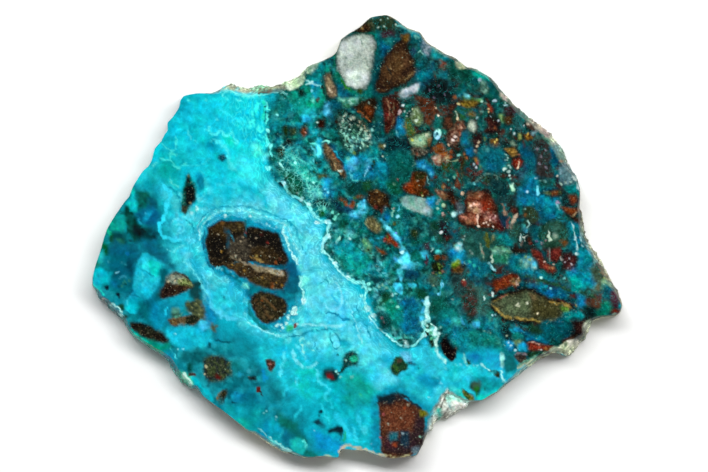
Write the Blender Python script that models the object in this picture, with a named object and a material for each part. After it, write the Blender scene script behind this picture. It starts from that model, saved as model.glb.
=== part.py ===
"""Polished slab of chrysocolla: one slice of stone, polished on top, sawn flat underneath.

The slab lies on its sawn back. +Z points out of the polished face and the origin is at the
middle of the back. Metres throughout; the outline is listed in millimetres.
"""
import bmesh
import bpy
from mathutils import Vector

MM = 0.001

# Driving dimensions, in metres
THICKNESS = 8.0 * MM
FOOT_HEIGHT = 1.6 * MM
SHOULDER_HEIGHT = 4.8 * MM
ARRIS_HEIGHT = 7.6 * MM
BACK_INSET = 0.5 * MM
SHOULDER_SHARE = 0.35
ARRIS_SHARE = 0.85

CHIP_START_DEPTH = 0.35 * MM
CHIP_SLOPE = 0.42
CUTTER_HEIGHT = 6.0 * MM

STONE_COLOUR = (0.0, 0.44, 0.55, 1.0)
STONE_ROUGHNESS = 0.25

# The rim of the slab, clockwise from the left tip seen from above. Each stretch gives how far
# the polished face's edge stands back from the silhouette, then the silhouette's points, in mm.
STRETCHES = [
    ("left flank", 0.15, [
        (-44.4, -8.4), (-44.4, -7.0), (-43.9, -5.0), (-42.9, -2.0), (-42.4, -0.1), (-41.9, 1.3),
        (-41.0, 2.9), (-38.9, 6.0), (-38.2, 6.7), (-37.6, 8.4), (-36.3, 10.5), (-35.6, 11.4),
        (-35.0, 11.7), (-34.3, 13.1), (-34.2, 14.0), (-33.9, 14.9), (-32.8, 16.0), (-32.3, 17.2),
        (-31.7, 17.7), (-31.9, 19.1), (-31.0, 19.9), (-29.8, 21.7), (-29.7, 22.8), (-29.1, 23.6)]),
    ("top left edge", 0.15, [
        (-28.3, 23.8), (-26.3, 24.1), (-24.6, 24.0), (-23.3, 24.4)]),
    ("sugary crust", 1.7, [
        (-23.1, 25.0), (-22.3, 25.5), (-21.0, 26.0), (-20.3, 25.5), (-18.2, 24.9), (-16.4, 25.8),
        (-15.1, 25.5), (-12.8, 25.8), (-12.3, 26.5), (-11.7, 26.1), (-9.8, 27.4), (-9.1, 28.0)]),
    ("top flank", 0.25, [
        (-8.5, 28.5), (-6.0, 29.4), (-4.2, 30.3), (-3.5, 31.0), (-2.9, 33.0), (-1.5, 34.0),
        (0.1, 34.9), (2.2, 36.8), (4.9, 37.2), (6.3, 36.5)]),
    ("upper right flank", 0.6, [
        (8.4, 34.9), (10.6, 34.2), (11.5, 32.6), (13.6, 31.4), (14.7, 30.6), (16.1, 30.1),
        (18.5, 28.3), (19.0, 28.5), (21.5, 27.2), (22.9, 26.1), (23.7, 24.9), (25.4, 23.1)]),
    ("right shoulder", 1.4, [
        (27.5, 21.2), (31.0, 18.8), (32.1, 17.9), (33.8, 15.8), (34.8, 13.9), (35.2, 12.5),
        (36.5, 10.7)]),
    ("right flank", 0.3, [
        (36.9, 9.7), (37.0, 8.7), (37.3, 8.0), (37.2, 4.9)]),
    ("lower right flank", 1.3, [
        (37.7, 4.0), (38.1, 1.5), (38.4, 0.2), (39.5, -1.8), (41.5, -4.8), (42.4, -6.9),
        (43.6, -8.8)]),
    ("right corner", 0.4, [
        (44.2, -10.7), (44.4, -11.5), (43.8, -13.0), (43.1, -13.3), (40.8, -13.5), (39.4, -14.1)]),
    ("lumpy cream crust", 1.6, [
        (39.1, -15.2), (38.8, -16.3), (38.4, -17.3), (37.2, -17.9), (36.2, -19.5), (34.7, -20.4),
        (33.8, -20.0), (33.2, -19.6)]),
    ("cream rim", 0.8, [
        (31.2, -20.4), (30.4, -20.5), (28.8, -21.8), (26.2, -23.8), (24.9, -24.8)]),
    ("lower right edge", 0.25, [
        (23.3, -26.1), (22.3, -26.5), (20.9, -27.4), (18.4, -27.6)]),
    ("broken corner", 0.3, [
        (18.6, -28.1), (18.4, -28.9), (17.2, -29.1), (15.4, -30.5), (14.1, -30.5), (13.1, -31.1),
        (12.9, -31.8), (13.1, -32.2), (12.7, -32.7), (11.8, -32.6)]),
    ("bottom edge", 0.3, [
        (11.0, -34.6), (10.0, -36.6), (9.0, -36.8), (5.7, -37.2), (3.1, -36.6), (1.3, -35.8),
        (-0.1, -35.8), (-2.8, -35.5), (-3.0, -37.0), (-4.0, -37.0), (-5.8, -36.7), (-7.3, -37.0),
        (-9.2, -37.0)]),
    ("chipped bottom edge", 0.9, [
        (-10.4, -36.6), (-12.3, -36.2), (-14.2, -35.3), (-16.3, -33.8), (-17.6, -32.7)]),
    ("lower left edge", 0.2, [
        (-18.2, -32.7), (-22.2, -29.4), (-25.9, -26.7), (-27.0, -25.2)]),
    ("scooped lower left wall", 1.4, [
        (-27.7, -25.7), (-29.4, -24.6), (-30.9, -23.0), (-31.9, -20.9)]),
    ("lower left wall", 0.7, [
        (-33.3, -19.6), (-34.4, -19.0), (-36.5, -17.4), (-37.8, -16.6), (-38.9, -14.9),
        (-39.2, -13.9)]),
    ("left corner wall", 1.1, [
        (-39.7, -13.9), (-40.1, -13.5), (-40.8, -12.7), (-41.5, -12.2), (-42.3, -11.1),
        (-43.5, -10.4), (-43.7, -9.0)]),
]

# The place on the lower right edge where a flake has broken off, in mm: its upper end and its
# left side follow the break, and the far side lies outside the slab.
CHIP_APEX = (14.9, -25.1)
CHIP_LEFT_SIDE = [(13.7, -26.9), (12.6, -28.5), (12.0, -30.2), (11.6, -31.5), (10.9, -33.6)]
CHIP_OUTSIDE = [(13.0, -36.0), (22.0, -32.0), (21.0, -27.4)]
CHIP_RIGHT_SIDE = [(18.0, -27.5), (16.8, -27.5), (15.7, -26.4)]


def clear_scene():
    for thing in list(bpy.data.objects):
        bpy.data.objects.remove(thing, do_unlink=True)


def new_collection(name):
    collection = bpy.data.collections.new(name)
    bpy.context.scene.collection.children.link(collection)
    return collection


def stone_material():
    material = bpy.data.materials.new("chrysocolla")
    material.use_nodes = True
    shader = material.node_tree.nodes["Principled BSDF"]
    shader.inputs["Base Color"].default_value = STONE_COLOUR
    shader.inputs["Roughness"].default_value = STONE_ROUGHNESS
    shader.inputs["Metallic"].default_value = 0.0
    return material


def prism(name, points, height, collection):
    """A closed mesh prism on a flat outline of points in metres, standing on z = 0."""
    curve = bpy.data.curves.new(name + "_outline", "CURVE")
    curve.dimensions = "2D"
    curve.fill_mode = "BOTH"
    curve.extrude = height / 2
    spline = curve.splines.new("POLY")
    spline.points.add(len(points) - 1)
    for corner, (x, y) in zip(spline.points, points):
        corner.co = (x, y, 0.0, 1.0)
    spline.use_cyclic_u = True
    flat = bpy.data.objects.new(name + "_outline", curve)
    flat.location.z = height / 2
    collection.objects.link(flat)
    bpy.context.view_layer.update()
    evaluated = flat.evaluated_get(bpy.context.evaluated_depsgraph_get())
    mesh = bpy.data.meshes.new_from_object(evaluated)
    mesh.transform(flat.matrix_world)
    mesh.name = name
    bpy.data.objects.remove(flat, do_unlink=True)
    bm = bmesh.new()
    bm.from_mesh(mesh)
    bmesh.ops.remove_doubles(bm, verts=bm.verts, dist=0.00001)
    caps = [face for face in bm.faces if abs(face.normal.z) > 0.9]
    bmesh.ops.dissolve_faces(bm, faces=[face for face in caps if face.normal.z > 0])
    caps = [face for face in bm.faces if face.normal.z < -0.9]
    bmesh.ops.dissolve_faces(bm, faces=caps)
    bm.to_mesh(mesh)
    bm.free()
    solid = bpy.data.objects.new(name, mesh)
    collection.objects.link(solid)
    return solid


def rim_points():
    """The silhouette in metres with the face's stand-back at each point, eased between stretches."""
    points = []
    setbacks = []
    for _, setback, stretch in STRETCHES:
        for x, y in stretch:
            points.append(Vector((x * MM, y * MM, 0.0)))
            setbacks.append(setback * MM)
    count = len(points)
    eased = [(setbacks[i - 1] + 2 * setbacks[i] + setbacks[(i + 1) % count]) / 4 for i in range(count)]
    return points, eased


def inward_directions(points):
    """At each point of a clockwise outline, the level direction into the stone."""
    count = len(points)
    directions = []
    for i in range(count):
        along = Vector()
        for reach in (1, 2):
            along += (points[(i + reach) % count] - points[i - reach]).normalized()
        along.normalize()
        directions.append(Vector((along.y, -along.x, 0.0)))
    return directions


def wall_inset(height, setback):
    """How far the wall stands in from the silhouette at a height above the back."""
    levels = [(0.0, BACK_INSET), (FOOT_HEIGHT, 0.0), (SHOULDER_HEIGHT, SHOULDER_SHARE * setback),
              (ARRIS_HEIGHT, ARRIS_SHARE * setback), (THICKNESS, setback)]
    for (low, inset_low), (high, inset_high) in zip(levels, levels[1:]):
        if height <= high + 1e-7:
            share = (height - low) / (high - low)
            return inset_low + share * (inset_high - inset_low)
    return setback


def shape_walls(slab, points, setbacks):
    """Cuts the wall into bands and leans each band in towards the polished face."""
    bm = bmesh.new()
    bm.from_mesh(slab.data)
    for height in (FOOT_HEIGHT, SHOULDER_HEIGHT, ARRIS_HEIGHT):
        everything = bm.verts[:] + bm.edges[:] + bm.faces[:]
        bmesh.ops.bisect_plane(bm, geom=everything, dist=1e-7, plane_co=(0, 0, height), plane_no=(0, 0, 1))
    directions = inward_directions(points)
    for vertex in bm.verts:
        level = Vector((vertex.co.x, vertex.co.y, 0.0))
        nearest = min(range(len(points)), key=lambda i: (points[i] - level).length_squared)
        vertex.co += directions[nearest] * wall_inset(vertex.co.z, setbacks[nearest])
    bm.normal_update()
    bm.to_mesh(slab.data)
    bm.free()


def chip_cutter(collection):
    """A wedge over the broken corner. Its floor falls away from the upper end of the break."""
    outline = [CHIP_APEX] + CHIP_LEFT_SIDE + CHIP_OUTSIDE + CHIP_RIGHT_SIDE
    cutter = prism("chip_cutter", [(x * MM, y * MM) for x, y in outline], CUTTER_HEIGHT, collection)
    for vertex in cutter.data.vertices:
        if vertex.co.z < CUTTER_HEIGHT / 2:
            fall = CHIP_START_DEPTH + CHIP_SLOPE * (CHIP_APEX[1] * MM - vertex.co.y)
            vertex.co.z = THICKNESS - fall
        else:
            vertex.co.z = THICKNESS + CUTTER_HEIGHT
    cutter.hide_render = True
    cutter.display_type = "WIRE"
    return cutter


def build():
    clear_scene()
    parts = new_collection("chrysocolla")
    cutters = new_collection("cutters")
    points, setbacks = rim_points()
    slab = prism("chrysocolla_slab", [(point.x, point.y) for point in points], THICKNESS, parts)
    shape_walls(slab, points, setbacks)
    slab.data.materials.append(stone_material())
    chip = slab.modifiers.new("broken corner", "BOOLEAN")
    chip.operation = "DIFFERENCE"
    chip.solver = "EXACT"
    chip.object = chip_cutter(cutters)


build()
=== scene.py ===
"""A polished slice of chrysocolla breccia lying on a pale table, seen from straight above."""

import math

import bmesh
import bpy
import numpy as np
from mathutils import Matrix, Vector


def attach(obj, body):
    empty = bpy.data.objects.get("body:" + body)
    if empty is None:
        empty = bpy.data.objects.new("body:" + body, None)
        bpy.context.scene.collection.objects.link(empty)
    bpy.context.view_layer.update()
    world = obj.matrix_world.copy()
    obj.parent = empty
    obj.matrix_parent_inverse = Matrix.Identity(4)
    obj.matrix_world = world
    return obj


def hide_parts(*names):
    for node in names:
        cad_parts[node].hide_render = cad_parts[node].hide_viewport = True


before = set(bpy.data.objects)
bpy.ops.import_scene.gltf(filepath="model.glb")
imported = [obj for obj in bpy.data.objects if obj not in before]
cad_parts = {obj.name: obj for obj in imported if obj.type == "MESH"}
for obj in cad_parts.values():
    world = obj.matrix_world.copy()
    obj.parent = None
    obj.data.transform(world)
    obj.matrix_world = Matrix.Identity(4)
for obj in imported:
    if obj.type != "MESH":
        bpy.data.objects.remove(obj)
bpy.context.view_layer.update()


# The stone
# One natural slice, about 89 by 74 mm and 8 mm thick. Its upper face is ground flat and polished,
# its underside is left as sawn, and its rim is the broken natural surface of the lump it was cut
# from, with crust in places and a corner broken off at the lower right.

MM = 0.001
THICKNESS = 8.0 * MM
WIDEST_HEIGHT = 1.6 * MM
RIM_SPACING = 0.36 * MM
FACE_CELL = 0.46 * MM
BACK_CELL = 0.9 * MM
BACK_INSET = 0.5 * MM

cad_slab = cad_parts["chrysocolla_slab"]
outline_mesh = bmesh.new()
outline_mesh.from_mesh(cad_slab.data)
bmesh.ops.remove_doubles(outline_mesh, verts=outline_mesh.verts, dist=0.01 * MM)


def ordered_loop(bm, height):
    """The CAD solid's outline points at one height, in order clockwise round it."""
    level = [edge for edge in bm.edges if all(abs(v.co.z - height) < 0.001 * MM for v in edge.verts)]
    level = [edge for edge in level if any(abs(face.normal.z) < 0.9 for face in edge.link_faces)]
    at = {}
    for edge in level:
        for vertex in edge.verts:
            at.setdefault(vertex, []).append(edge)
    start = min(at, key=lambda v: v.co.x)
    loop, vertex, edge = [start], start, None
    while True:
        edge = next(e for e in at[vertex] if e is not edge)
        vertex = edge.other_vert(vertex)
        if vertex is start:
            break
        loop.append(vertex)
    x, y = np.array([v.co[:2] for v in loop]).T
    clockwise = np.sum(x * np.roll(y, -1) - y * np.roll(x, -1)) < 0
    return np.stack([x, y], 1)[::1 if clockwise else -1]


silhouette = ordered_loop(outline_mesh, WIDEST_HEIGHT)
face_edge = ordered_loop(outline_mesh, THICKNESS)
outline_mesh.free()


def noise(x, y, size, seed):
    """Smooth random lumps from 0 to 1, about this size across."""
    table = np.random.default_rng(seed).random((128, 128))
    u = np.asarray(x) / size + 61.0
    v = np.asarray(y) / size + 47.0
    i = np.floor(u).astype(int)
    j = np.floor(v).astype(int)
    u = u - i
    v = v - j
    u = u * u * (3 - 2 * u)
    v = v * v * (3 - 2 * v)
    i0, i1, j0, j1 = i % 128, (i + 1) % 128, j % 128, (j + 1) % 128
    low = table[i0, j0] * (1 - u) + table[i1, j0] * u
    high = table[i0, j1] * (1 - u) + table[i1, j1] * u
    return low * (1 - v) + high * v


def rough(x, y, size, seed):
    """Lumps with smaller lumps on them, from 0 to 1 and mostly near a half."""
    total = noise(x, y, size, seed) + 0.5 * noise(x, y, size / 2, seed + 1)
    return (total + 0.25 * noise(x, y, size / 4, seed + 2)) / 1.75


def smooth_points(points, closed, steps):
    """A smooth curve through the points, with this many steps between each pair."""
    points = np.asarray(points, float)
    if closed:
        before, here = np.roll(points, 1, 0), points
        after, beyond = np.roll(points, -1, 0), np.roll(points, -2, 0)
    else:
        here, after = points[:-1], points[1:]
        before = np.vstack([points[:1], points[:-2]])
        beyond = np.vstack([points[2:], points[-1:]])
    out = []
    for t in np.arange(steps) / steps:
        bend = 2 * here + (after - before) * t + (2 * before - 5 * here + 4 * after - beyond) * t**2
        out.append((bend + (3 * here - 3 * after + beyond - before) * t**3) / 2)
    curve = np.stack(out, 1).reshape(-1, 2)
    return curve if closed else np.vstack([curve, points[-1:]])


def evenly(loop, spacing):
    """A closed loop's points again, evenly spaced along it."""
    closed = np.vstack([loop, loop[:1]])
    run = np.concatenate([[0], np.cumsum(np.hypot(*np.diff(closed, axis=0).T))])
    along = np.arange(0, run[-1] - spacing / 2, spacing)
    return np.stack([np.interp(along, run, closed[:, 0]), np.interp(along, run, closed[:, 1])], 1)


def near_loop(points, loop):
    """The distance from each point to the nearest place on a closed loop."""
    best = np.full(len(points), 1e9)
    for start, end in zip(loop, np.roll(loop, -1, 0)):
        along = end - start
        share = np.clip((points - start) @ along / (along @ along), 0, 1)
        best = np.minimum(best, np.hypot(*(points - start - share[:, None] * along).T))
    return best


def soften(values, reach):
    """Values round a closed loop, averaged over this many neighbours on either side."""
    return sum(np.roll(values, k, 0) for k in range(-reach, reach + 1)) / (2 * reach + 1)


# The rim runs round the silhouette. Where crust is thick the polished face stands well back from
# it, and elsewhere the edge is a fine, slightly ragged line.
sharp = evenly(silhouette, RIM_SPACING)
setback = np.minimum(near_loop(sharp, face_edge), 2.0 * MM)
rim = 0.5 * sharp + 0.5 * soften(sharp, 2)
setback = soften(setback, 4)
along = soften(np.roll(rim, -1, 0) - np.roll(rim, 1, 0), 3)
inward = np.stack([along[:, 1], -along[:, 0]], 1) / np.hypot(*along.T)[:, None]

# The wall goes up in rows. It is upright up to the widest height, then leans in to the polished
# face, and the last rows round over the edge.
ROW_HEIGHTS = (0.0, 0.25, 0.9, 1.6, 2.4, 3.3, 4.2, 5.1, 6.0, 6.8, 7.4, 7.75, 7.93, 8.0)


def lean(height):
    """How much of the setback the wall has taken up at this height, in mm above the back."""
    return float(np.interp(height, (1.6, 4.8, 7.6, 8.0), (0.0, 0.35, 0.85, 1.0)))


bm = bmesh.new()
count = len(rim)
rows = []
for height in ROW_HEIGHTS:
    ripple = 0.0 if height > 7.9 or height < 0.1 else 1.0
    x, y = rim[:, 0] / MM, rim[:, 1] / MM
    lumps = rough(x * 3 + 40 * height, y * 3, 4.0, 11) - 0.5
    lumps = lumps + 0.8 * (noise(x * 9 + 70 * height, y * 9, 4.0, 17) - 0.5)
    crusty = np.clip((setback / MM - 0.5) / 0.8, 0, 1)
    inset = lean(height) * setback
    if height < 1.6:
        inset = inset + BACK_INSET * (1 - height / 1.6) ** 2
    inset = inset + ripple * MM * (0.10 + 0.5 * crusty) * (0.5 - lumps) * np.clip((8 - height) / 2, 0.15, 1)
    ring = rim + inward * inset[:, None]
    rows.append([bm.verts.new((px, py, height * MM)) for px, py in ring])
for low, high in zip(rows, rows[1:]):
    for k in range(count):
        n = (k + 1) % count
        bm.faces.new((low[n], low[k], high[k], high[n]))
face_cap = bm.faces.new(rows[-1][::-1])
back_cap = bm.faces.new(rows[0])
bm.normal_update()


def cut_grid(bm, height, cell):
    """Cuts the level cap at this height into a grid of square cells."""
    for axis in (0, 1):
        start = min(v.co[axis] for v in rows[3])
        stop = max(v.co[axis] for v in rows[3])
        at = start + cell / 2
        while at < stop:
            caps = [f for f in bm.faces if abs(f.normal.z) > 0.99 and abs(f.calc_center_median().z - height) < 1e-6]
            edges = {e for f in caps for e in f.edges}
            verts = {v for f in caps for v in f.verts}
            point, normal = Vector(), Vector()
            point[axis], normal[axis] = at, 1
            bmesh.ops.bisect_plane(bm, geom=caps + list(edges) + list(verts), dist=1e-7, plane_co=point, plane_no=normal)
            at += cell


cut_grid(bm, THICKNESS, FACE_CELL)
cut_grid(bm, 0.0, BACK_CELL)

# The pattern of the stone, drawn as on a sheet laid over the slab seen from above. Sheet places
# are in sixths of a millimetre, to the right and down from a corner at (-59.6, 39.47) mm.
SHEET = 6.0
SHEET_LEFT = 357.6
SHEET_TOP = 236.8


def colour(text):
    """A colour as seen, from its six hex digits, as linear light."""
    parts = np.array([int(text[k:k + 2], 16) for k in (0, 2, 4)]) / 255
    return np.where(parts < 0.04045, parts / 12.92, ((parts + 0.055) / 1.055) ** 2.4)


def places(text):
    return np.array([[float(n) for n in pair.split(",")] for pair in text.split()])


def signed_distance(px, py, loop):
    """How far each place is outside a closed outline, negative inside."""
    best = np.full(len(px), 1e9)
    inside = np.zeros(len(px), bool)
    for (ax, ay), (bx, by) in zip(loop, np.roll(loop, -1, 0)):
        ex, ey = bx - ax, by - ay
        share = np.clip(((px - ax) * ex + (py - ay) * ey) / max(ex * ex + ey * ey, 1e-9), 0, 1)
        best = np.minimum(best, np.hypot(px - ax - share * ex, py - ay - share * ey))
        if ay != by:
            inside ^= ((ay > py) != (by > py)) & (px < ex * (py - ay) / ey + ax)
    return np.where(inside, -best, best)


def line_distance(px, py, line, width):
    """How far each place is from a line that thins out at its ends, less half its width."""
    best = np.full(len(px), 1e9)
    last = len(line) - 1
    for k, ((ax, ay), (bx, by)) in enumerate(zip(line[:-1], line[1:])):
        ex, ey = bx - ax, by - ay
        share = np.clip(((px - ax) * ex + (py - ay) * ey) / max(ex * ex + ey * ey, 1e-9), 0, 1)
        run = (k + share) / last
        half = width / 2 * np.clip(5 * np.minimum(run, 1 - run) + 0.45, 0, 1)
        best = np.minimum(best, np.hypot(px - ax - share * ex, py - ay - share * ey) - half)
    return best


def paint(sheet, drawing):
    """Lays the marks of a drawing over the sheet places, one after another.

    A mark is one line of text: its kind, its colour, its softness or width, and its places. A
    colour may be followed by a second one, its share and the size of its patches.
    """
    x, y = sheet["x"], sheet["y"]
    wx = x + 1.5 * (noise(x, y, 6, 5) - 0.5) + 0.9 * (noise(x, y, 2.6, 6) - 0.5)
    wy = y + 1.5 * (noise(x, y, 6, 7) - 0.5) + 0.9 * (noise(x, y, 2.6, 8) - 0.5)
    shade = 1.5 * (rough(wx, wy, 5, 31) - 0.5) + 0.9 * (noise(x, y, 2.2, 34) - 0.5)
    green = 1.6 * (rough(wx, wy, 7, 37) - 0.5)
    light = 1 + 0.8 * shade
    shimmer = np.stack([light, light * (1 + 0.3 * green), light * (1 - 0.3 * green)], 1)
    for text in drawing.strip().splitlines():
        text = text.split("#")[0].strip()
        if not text:
            continue
        kind, tones, size, *rest = text.split(None, 3)
        tones = tones.split("/")
        size = float(size)
        strength = 1.0
        spots = places(rest[0])
        if kind in ("pool", "flecks", "clouds", "glaze"):
            shapes = [smooth_points(spots, True, 4)]
        elif kind == "stone":
            shapes = [spots]
        elif kind == "vein":
            shapes = [smooth_points(spots, False, 4)]
        else:
            shapes = [spot[None] for spot in spots]
        reach = {"vein": size / 2 + 1.5, "bead": size + 1.5, "pool": 1.9 * size}.get(kind, size) + 2
        for shape in shapes:
            low, high = shape.min(0) - reach, shape.max(0) + reach
            near = np.flatnonzero((wx > low[0]) & (wx < high[0]) & (wy > low[1]) & (wy < high[1]))
            if not len(near):
                continue
            px, py = wx[near], wy[near]
            if kind in ("pool", "stone", "flecks", "clouds", "glaze"):
                gap = signed_distance(px, py, shape)
                soft = size
                if kind == "pool":
                    gap = gap + 2.6 * size * (rough(px, py, 4 + size, 19) - 0.5)
            elif kind == "vein":
                jog = 1.8 * (noise(px, py, 2.4, 9) - 0.5)
                gap = line_distance(px + jog, py - jog, shape, size)
                gap = gap + 0.7 * size * (noise(px, py, 3.5, 13) - 0.45)
                soft = 0.7 if size < 4 else 1.4
            else:
                gap = np.hypot(px - shape[0, 0], py - shape[0, 1]) - 0.85 * size
                gap = gap + size * (noise(px, py, 2.6, 17) - 0.5)
                soft = 0.8 if size < 3 else 1.3
            share = np.clip(0.5 - gap / (2 * soft), 0, 1)
            share = (share * share * (3 - 2 * share))[:, None]
            if kind in ("flecks", "clouds") or (kind == "pool" and size > 5):
                home = sheet["inside"][near]
                own = (home * share[:, 0]).sum() > 0.5 * share.sum()
                share = share * (home if own else 1 - home)[:, None]
            tone = np.broadcast_to(colour(tones[0]), (len(near), 3))
            lively = {"pool": 1.0, "stone": 0.6, "flecks": 0.7, "glaze": 0.0}.get(kind, 0.25) * (0.5 + 0.5 * sheet["breccia"][near])
            if kind in ("flecks", "clouds"):
                seed = int(tones[0], 16) % 977
                patch = rough(px, py, size, seed)
                level = 0.5 + 0.33 * (0.5 - float(tones[1]))
                cover = np.clip((patch - level) / (0.22 if kind == "flecks" else 0.4) + 0.5, 0, 1)
                cover = cover * (1 - sheet["solid"][near])
                share = share * float(tones[2]) * cover[:, None]
                gap = np.maximum(gap, 1.6 - 3 * np.abs(cover - 0.5) + 9 * (kind == "clouds"))
            elif len(tones) > 1:
                patch = rough(px, py, float(tones[3]), 20 + len(tones[1]))
                edge = 0.5 + 0.32 * (0.5 - float(tones[2]))
                mix = np.clip((patch - edge) / 0.28 + 0.5, 0, 1)[:, None]
                tone = tone * (1 - mix) + colour(tones[1]) * mix
            hue = np.clip((tone.max(1) - tone.min(1)) / 0.25, 0.2, 1)
            tone = tone * (1 + (lively * hue)[:, None] * (shimmer[near] - 1))
            rocky = sheet["breccia"][near]
            if kind == "stone":
                hem = np.exp(-(((gap - 0.9) / 1.3) ** 2)) * (gap > -0.5)
                sheet["body"][near] *= (1 - 0.6 * rocky * hem)[:, None]
                core = np.clip(-gap / 3.5, 0, 1)
                tone = tone * (1 - rocky * (0.62 - 0.42 * core))[:, None]
            if kind in ("stone", "bead", "vein"):
                solid = np.maximum(0.6 * rocky, kind == "stone")
                sheet["solid"][near] = sheet["solid"][near] * (1 - share[:, 0]) + solid * share[:, 0]
            body = sheet["body"][near]
            if kind == "glaze":
                tone = body * colour(tones[0]) * 2
            step = np.abs(tone - body).sum(1) * np.exp(-(gap / 1.6) ** 2) * min(1.0, 1.2 / soft)
            sheet["detail"][near] = np.maximum(sheet["detail"][near], step)
            sheet["body"][near] = body * (1 - share) + tone * share
    return sheet

# Fine grounds: cloudy growth lines in the turquoise, and specks and blotches in the breccia.
TEXTURE = """
flecks 0aa0b8/.3/.5 9 120,80 290,70 260,190 200,220 120,260 80,260
flecks 2adce8/.3/.4 5 120,80 290,70 270,190 200,220 160,260
clouds 0a8aa4/.34/.6 12 90,220 170,220 200,290 250,340 300,420 300,470 180,400 90,300
clouds 0a6a80/.35/.7 9 90,190 158,190 160,290 240,340 280,420 280,470 180,400 90,300
clouds 046468/.3/.8 8 90,190 156,196 156,290 230,350 260,440 180,400 90,300
clouds 033b37/.14/.8 7 90,190 156,196 156,290 230,350 260,440 180,400 90,300
flecks 80f0f8/.2/.45 5 180,190 300,190 330,260 370,310 400,350 330,350 280,340 250,320 200,300
flecks 20b8d4/.3/.5 6 180,190 300,190 330,260 370,310 420,370 330,360 280,340 250,320 200,300
flecks 065c60/.45/.6 9 284,88 360,20 460,60 570,160 620,300 560,350 440,340 400,345 365,290 325,250 270,170
flecks 04383c/.42/.7 7 284,88 360,20 460,60 570,160 620,300 560,350 440,340 400,345 365,290 325,250 270,170
flecks 0a6480/.24/.6 8 284,88 360,30 460,70 560,160 610,300 560,350 440,340 400,345 365,290 325,250 270,170
flecks 0a8a88/.2/.5 6 284,88 360,30 460,70 560,160 610,300 560,350 440,340 400,345 365,290 325,250 270,170
flecks 0a5a40/.2/.6 8 284,88 360,30 460,70 560,160 610,300 560,350 440,340 400,345 365,290 325,250 270,170
flecks 0a1c1c/.18/.8 5 284,88 360,20 460,60 570,160 620,300 560,350 440,340 400,345 365,290 325,250 270,170
flecks 58b0a8/.04/.5 3.4 284,88 360,30 460,70 560,160 610,300 560,350 440,340 400,345 365,290 325,250 270,170
flecks 3a2418/.14/.7 6 380,50 460,70 560,160 610,290 590,330 520,330 450,290 430,200 390,120
flecks 5a2416/.08/.8 4 390,90 460,80 560,160 610,290 590,330 520,330 450,290 430,200 390,120
flecks a0f0e8/.07/.5 3 330,228 366,240 400,290 420,330 395,342 370,300 330,262
"""

# Broad grounds: turquoise on the left and along the bottom, a pale band through the middle, and
# the darker breccia that fills the right.
GROUND = """
pool 06c0d6/14d0e2/.45/14 12 140,165 160,130 178,88 228,82 275,86 272,130 275,165 262,195 240,212 205,205 185,215 160,215 145,200 130,195
pool 0ac8da/20d8e6/.4/10 8 195,120 225,112 245,125 262,150 262,180 240,195 205,170 190,150 180,130
pool 05b0b8/0cc0cc/.5/9 7 150,150 172,145 185,160 184,180 170,190 148,186 138,172
pool 08a0b8/0890a8/.4/8 8 112,205 135,190 160,200 170,225 162,250 150,262 165,300 150,325 125,310 98,280 92,255 104,228
pool 3ad4e8/55e4f0/.5/9 8 160,190 178,200 180,225 200,250 200,275 214,290 240,300 250,330 290,345 330,360 380,372 400,400 440,392 450,372 425,350 400,350 372,330 360,305 352,285 330,268 318,248 320,228 305,210 285,200 270,186 262,170 250,160 240,178 232,196 214,202 196,214 176,212
pool 50e0ee/6aeaf4/.45/8 7 250,200 270,192 285,200 300,212 314,228 318,250 330,270 350,290 360,310 340,322 315,318 306,300 308,275 296,262 290,240 282,226 262,214 240,212
pool 58e2ee/70ecf4/.4/7 6 300,225 316,232 318,255 336,276 338,300 322,310 310,296 312,276 300,262 296,242
pool 2ccfe4/3ad8ec/.5/9 9 170,218 186,222 196,240 198,262 190,275 172,268 160,250 164,232
pool 0a98ac/0aa8bc/.5/8 8 190,352 216,338 236,345 256,362 268,385 285,408 300,430 318,452 300,458 280,448 250,425 222,402 200,380
pool 068090/0a98a8/.45/7 7 205,350 228,344 248,356 262,382 268,400 250,410 225,402 205,382
pool 10b8cc/1cc8da/.5/9 9 262,330 300,345 330,370 378,392 376,440 350,448 330,420 300,400 280,392 266,370
pool 0cb8c8/16c8d6/.5/8 8 330,372 380,384 378,448 345,446 340,430 330,400
pool 10b4cc/28cce4/.5/8 8 400,352 440,352 460,372 500,366 512,380 480,398 440,386 428,400 384,392 372,372
pool 066c70/0a8488/.5/9 8 276,88 300,80 330,56 366,16 392,24 420,42 455,58 490,74 520,104 552,136 568,166 584,200 592,236 604,262 620,300 596,312 588,330 560,348 530,358 500,352 470,362 440,350 428,330 420,342 392,340 374,322 366,290 345,276 326,258 324,236 328,222 308,210 290,194 272,178 268,150 266,120
pool 087c80/0a9094/.5/8 8 330,228 370,232 400,262 420,300 416,330 392,334 376,316 368,288 344,270 330,252
pool 0a7c88/0a8c98/.4/8 7 280,100 310,92 330,110 330,140 320,165 296,160 280,140
pool 0a90a4/0c9cb0/.4/8 6 345,160 372,148 400,150 402,175 388,190 370,182 350,180
pool 125048/1a605c/.5/6 7 395,90 440,70 480,84 510,110 530,140 540,170 512,190 500,235 480,262 462,240 440,222 430,190 436,160 420,150 405,130 398,110
pool 12484a/1c5a54/.5/6 7 440,150 470,140 500,150 510,175 500,192 460,186 442,172
pool 0a6470/0c7880/.5/8 7 440,270 500,262 540,276 580,290 600,312 570,330 540,330 500,345 460,340 440,310
pool 0a8894/0c98a4/.5/7 7 455,330 500,322 510,345 480,352 460,346
"""

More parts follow.
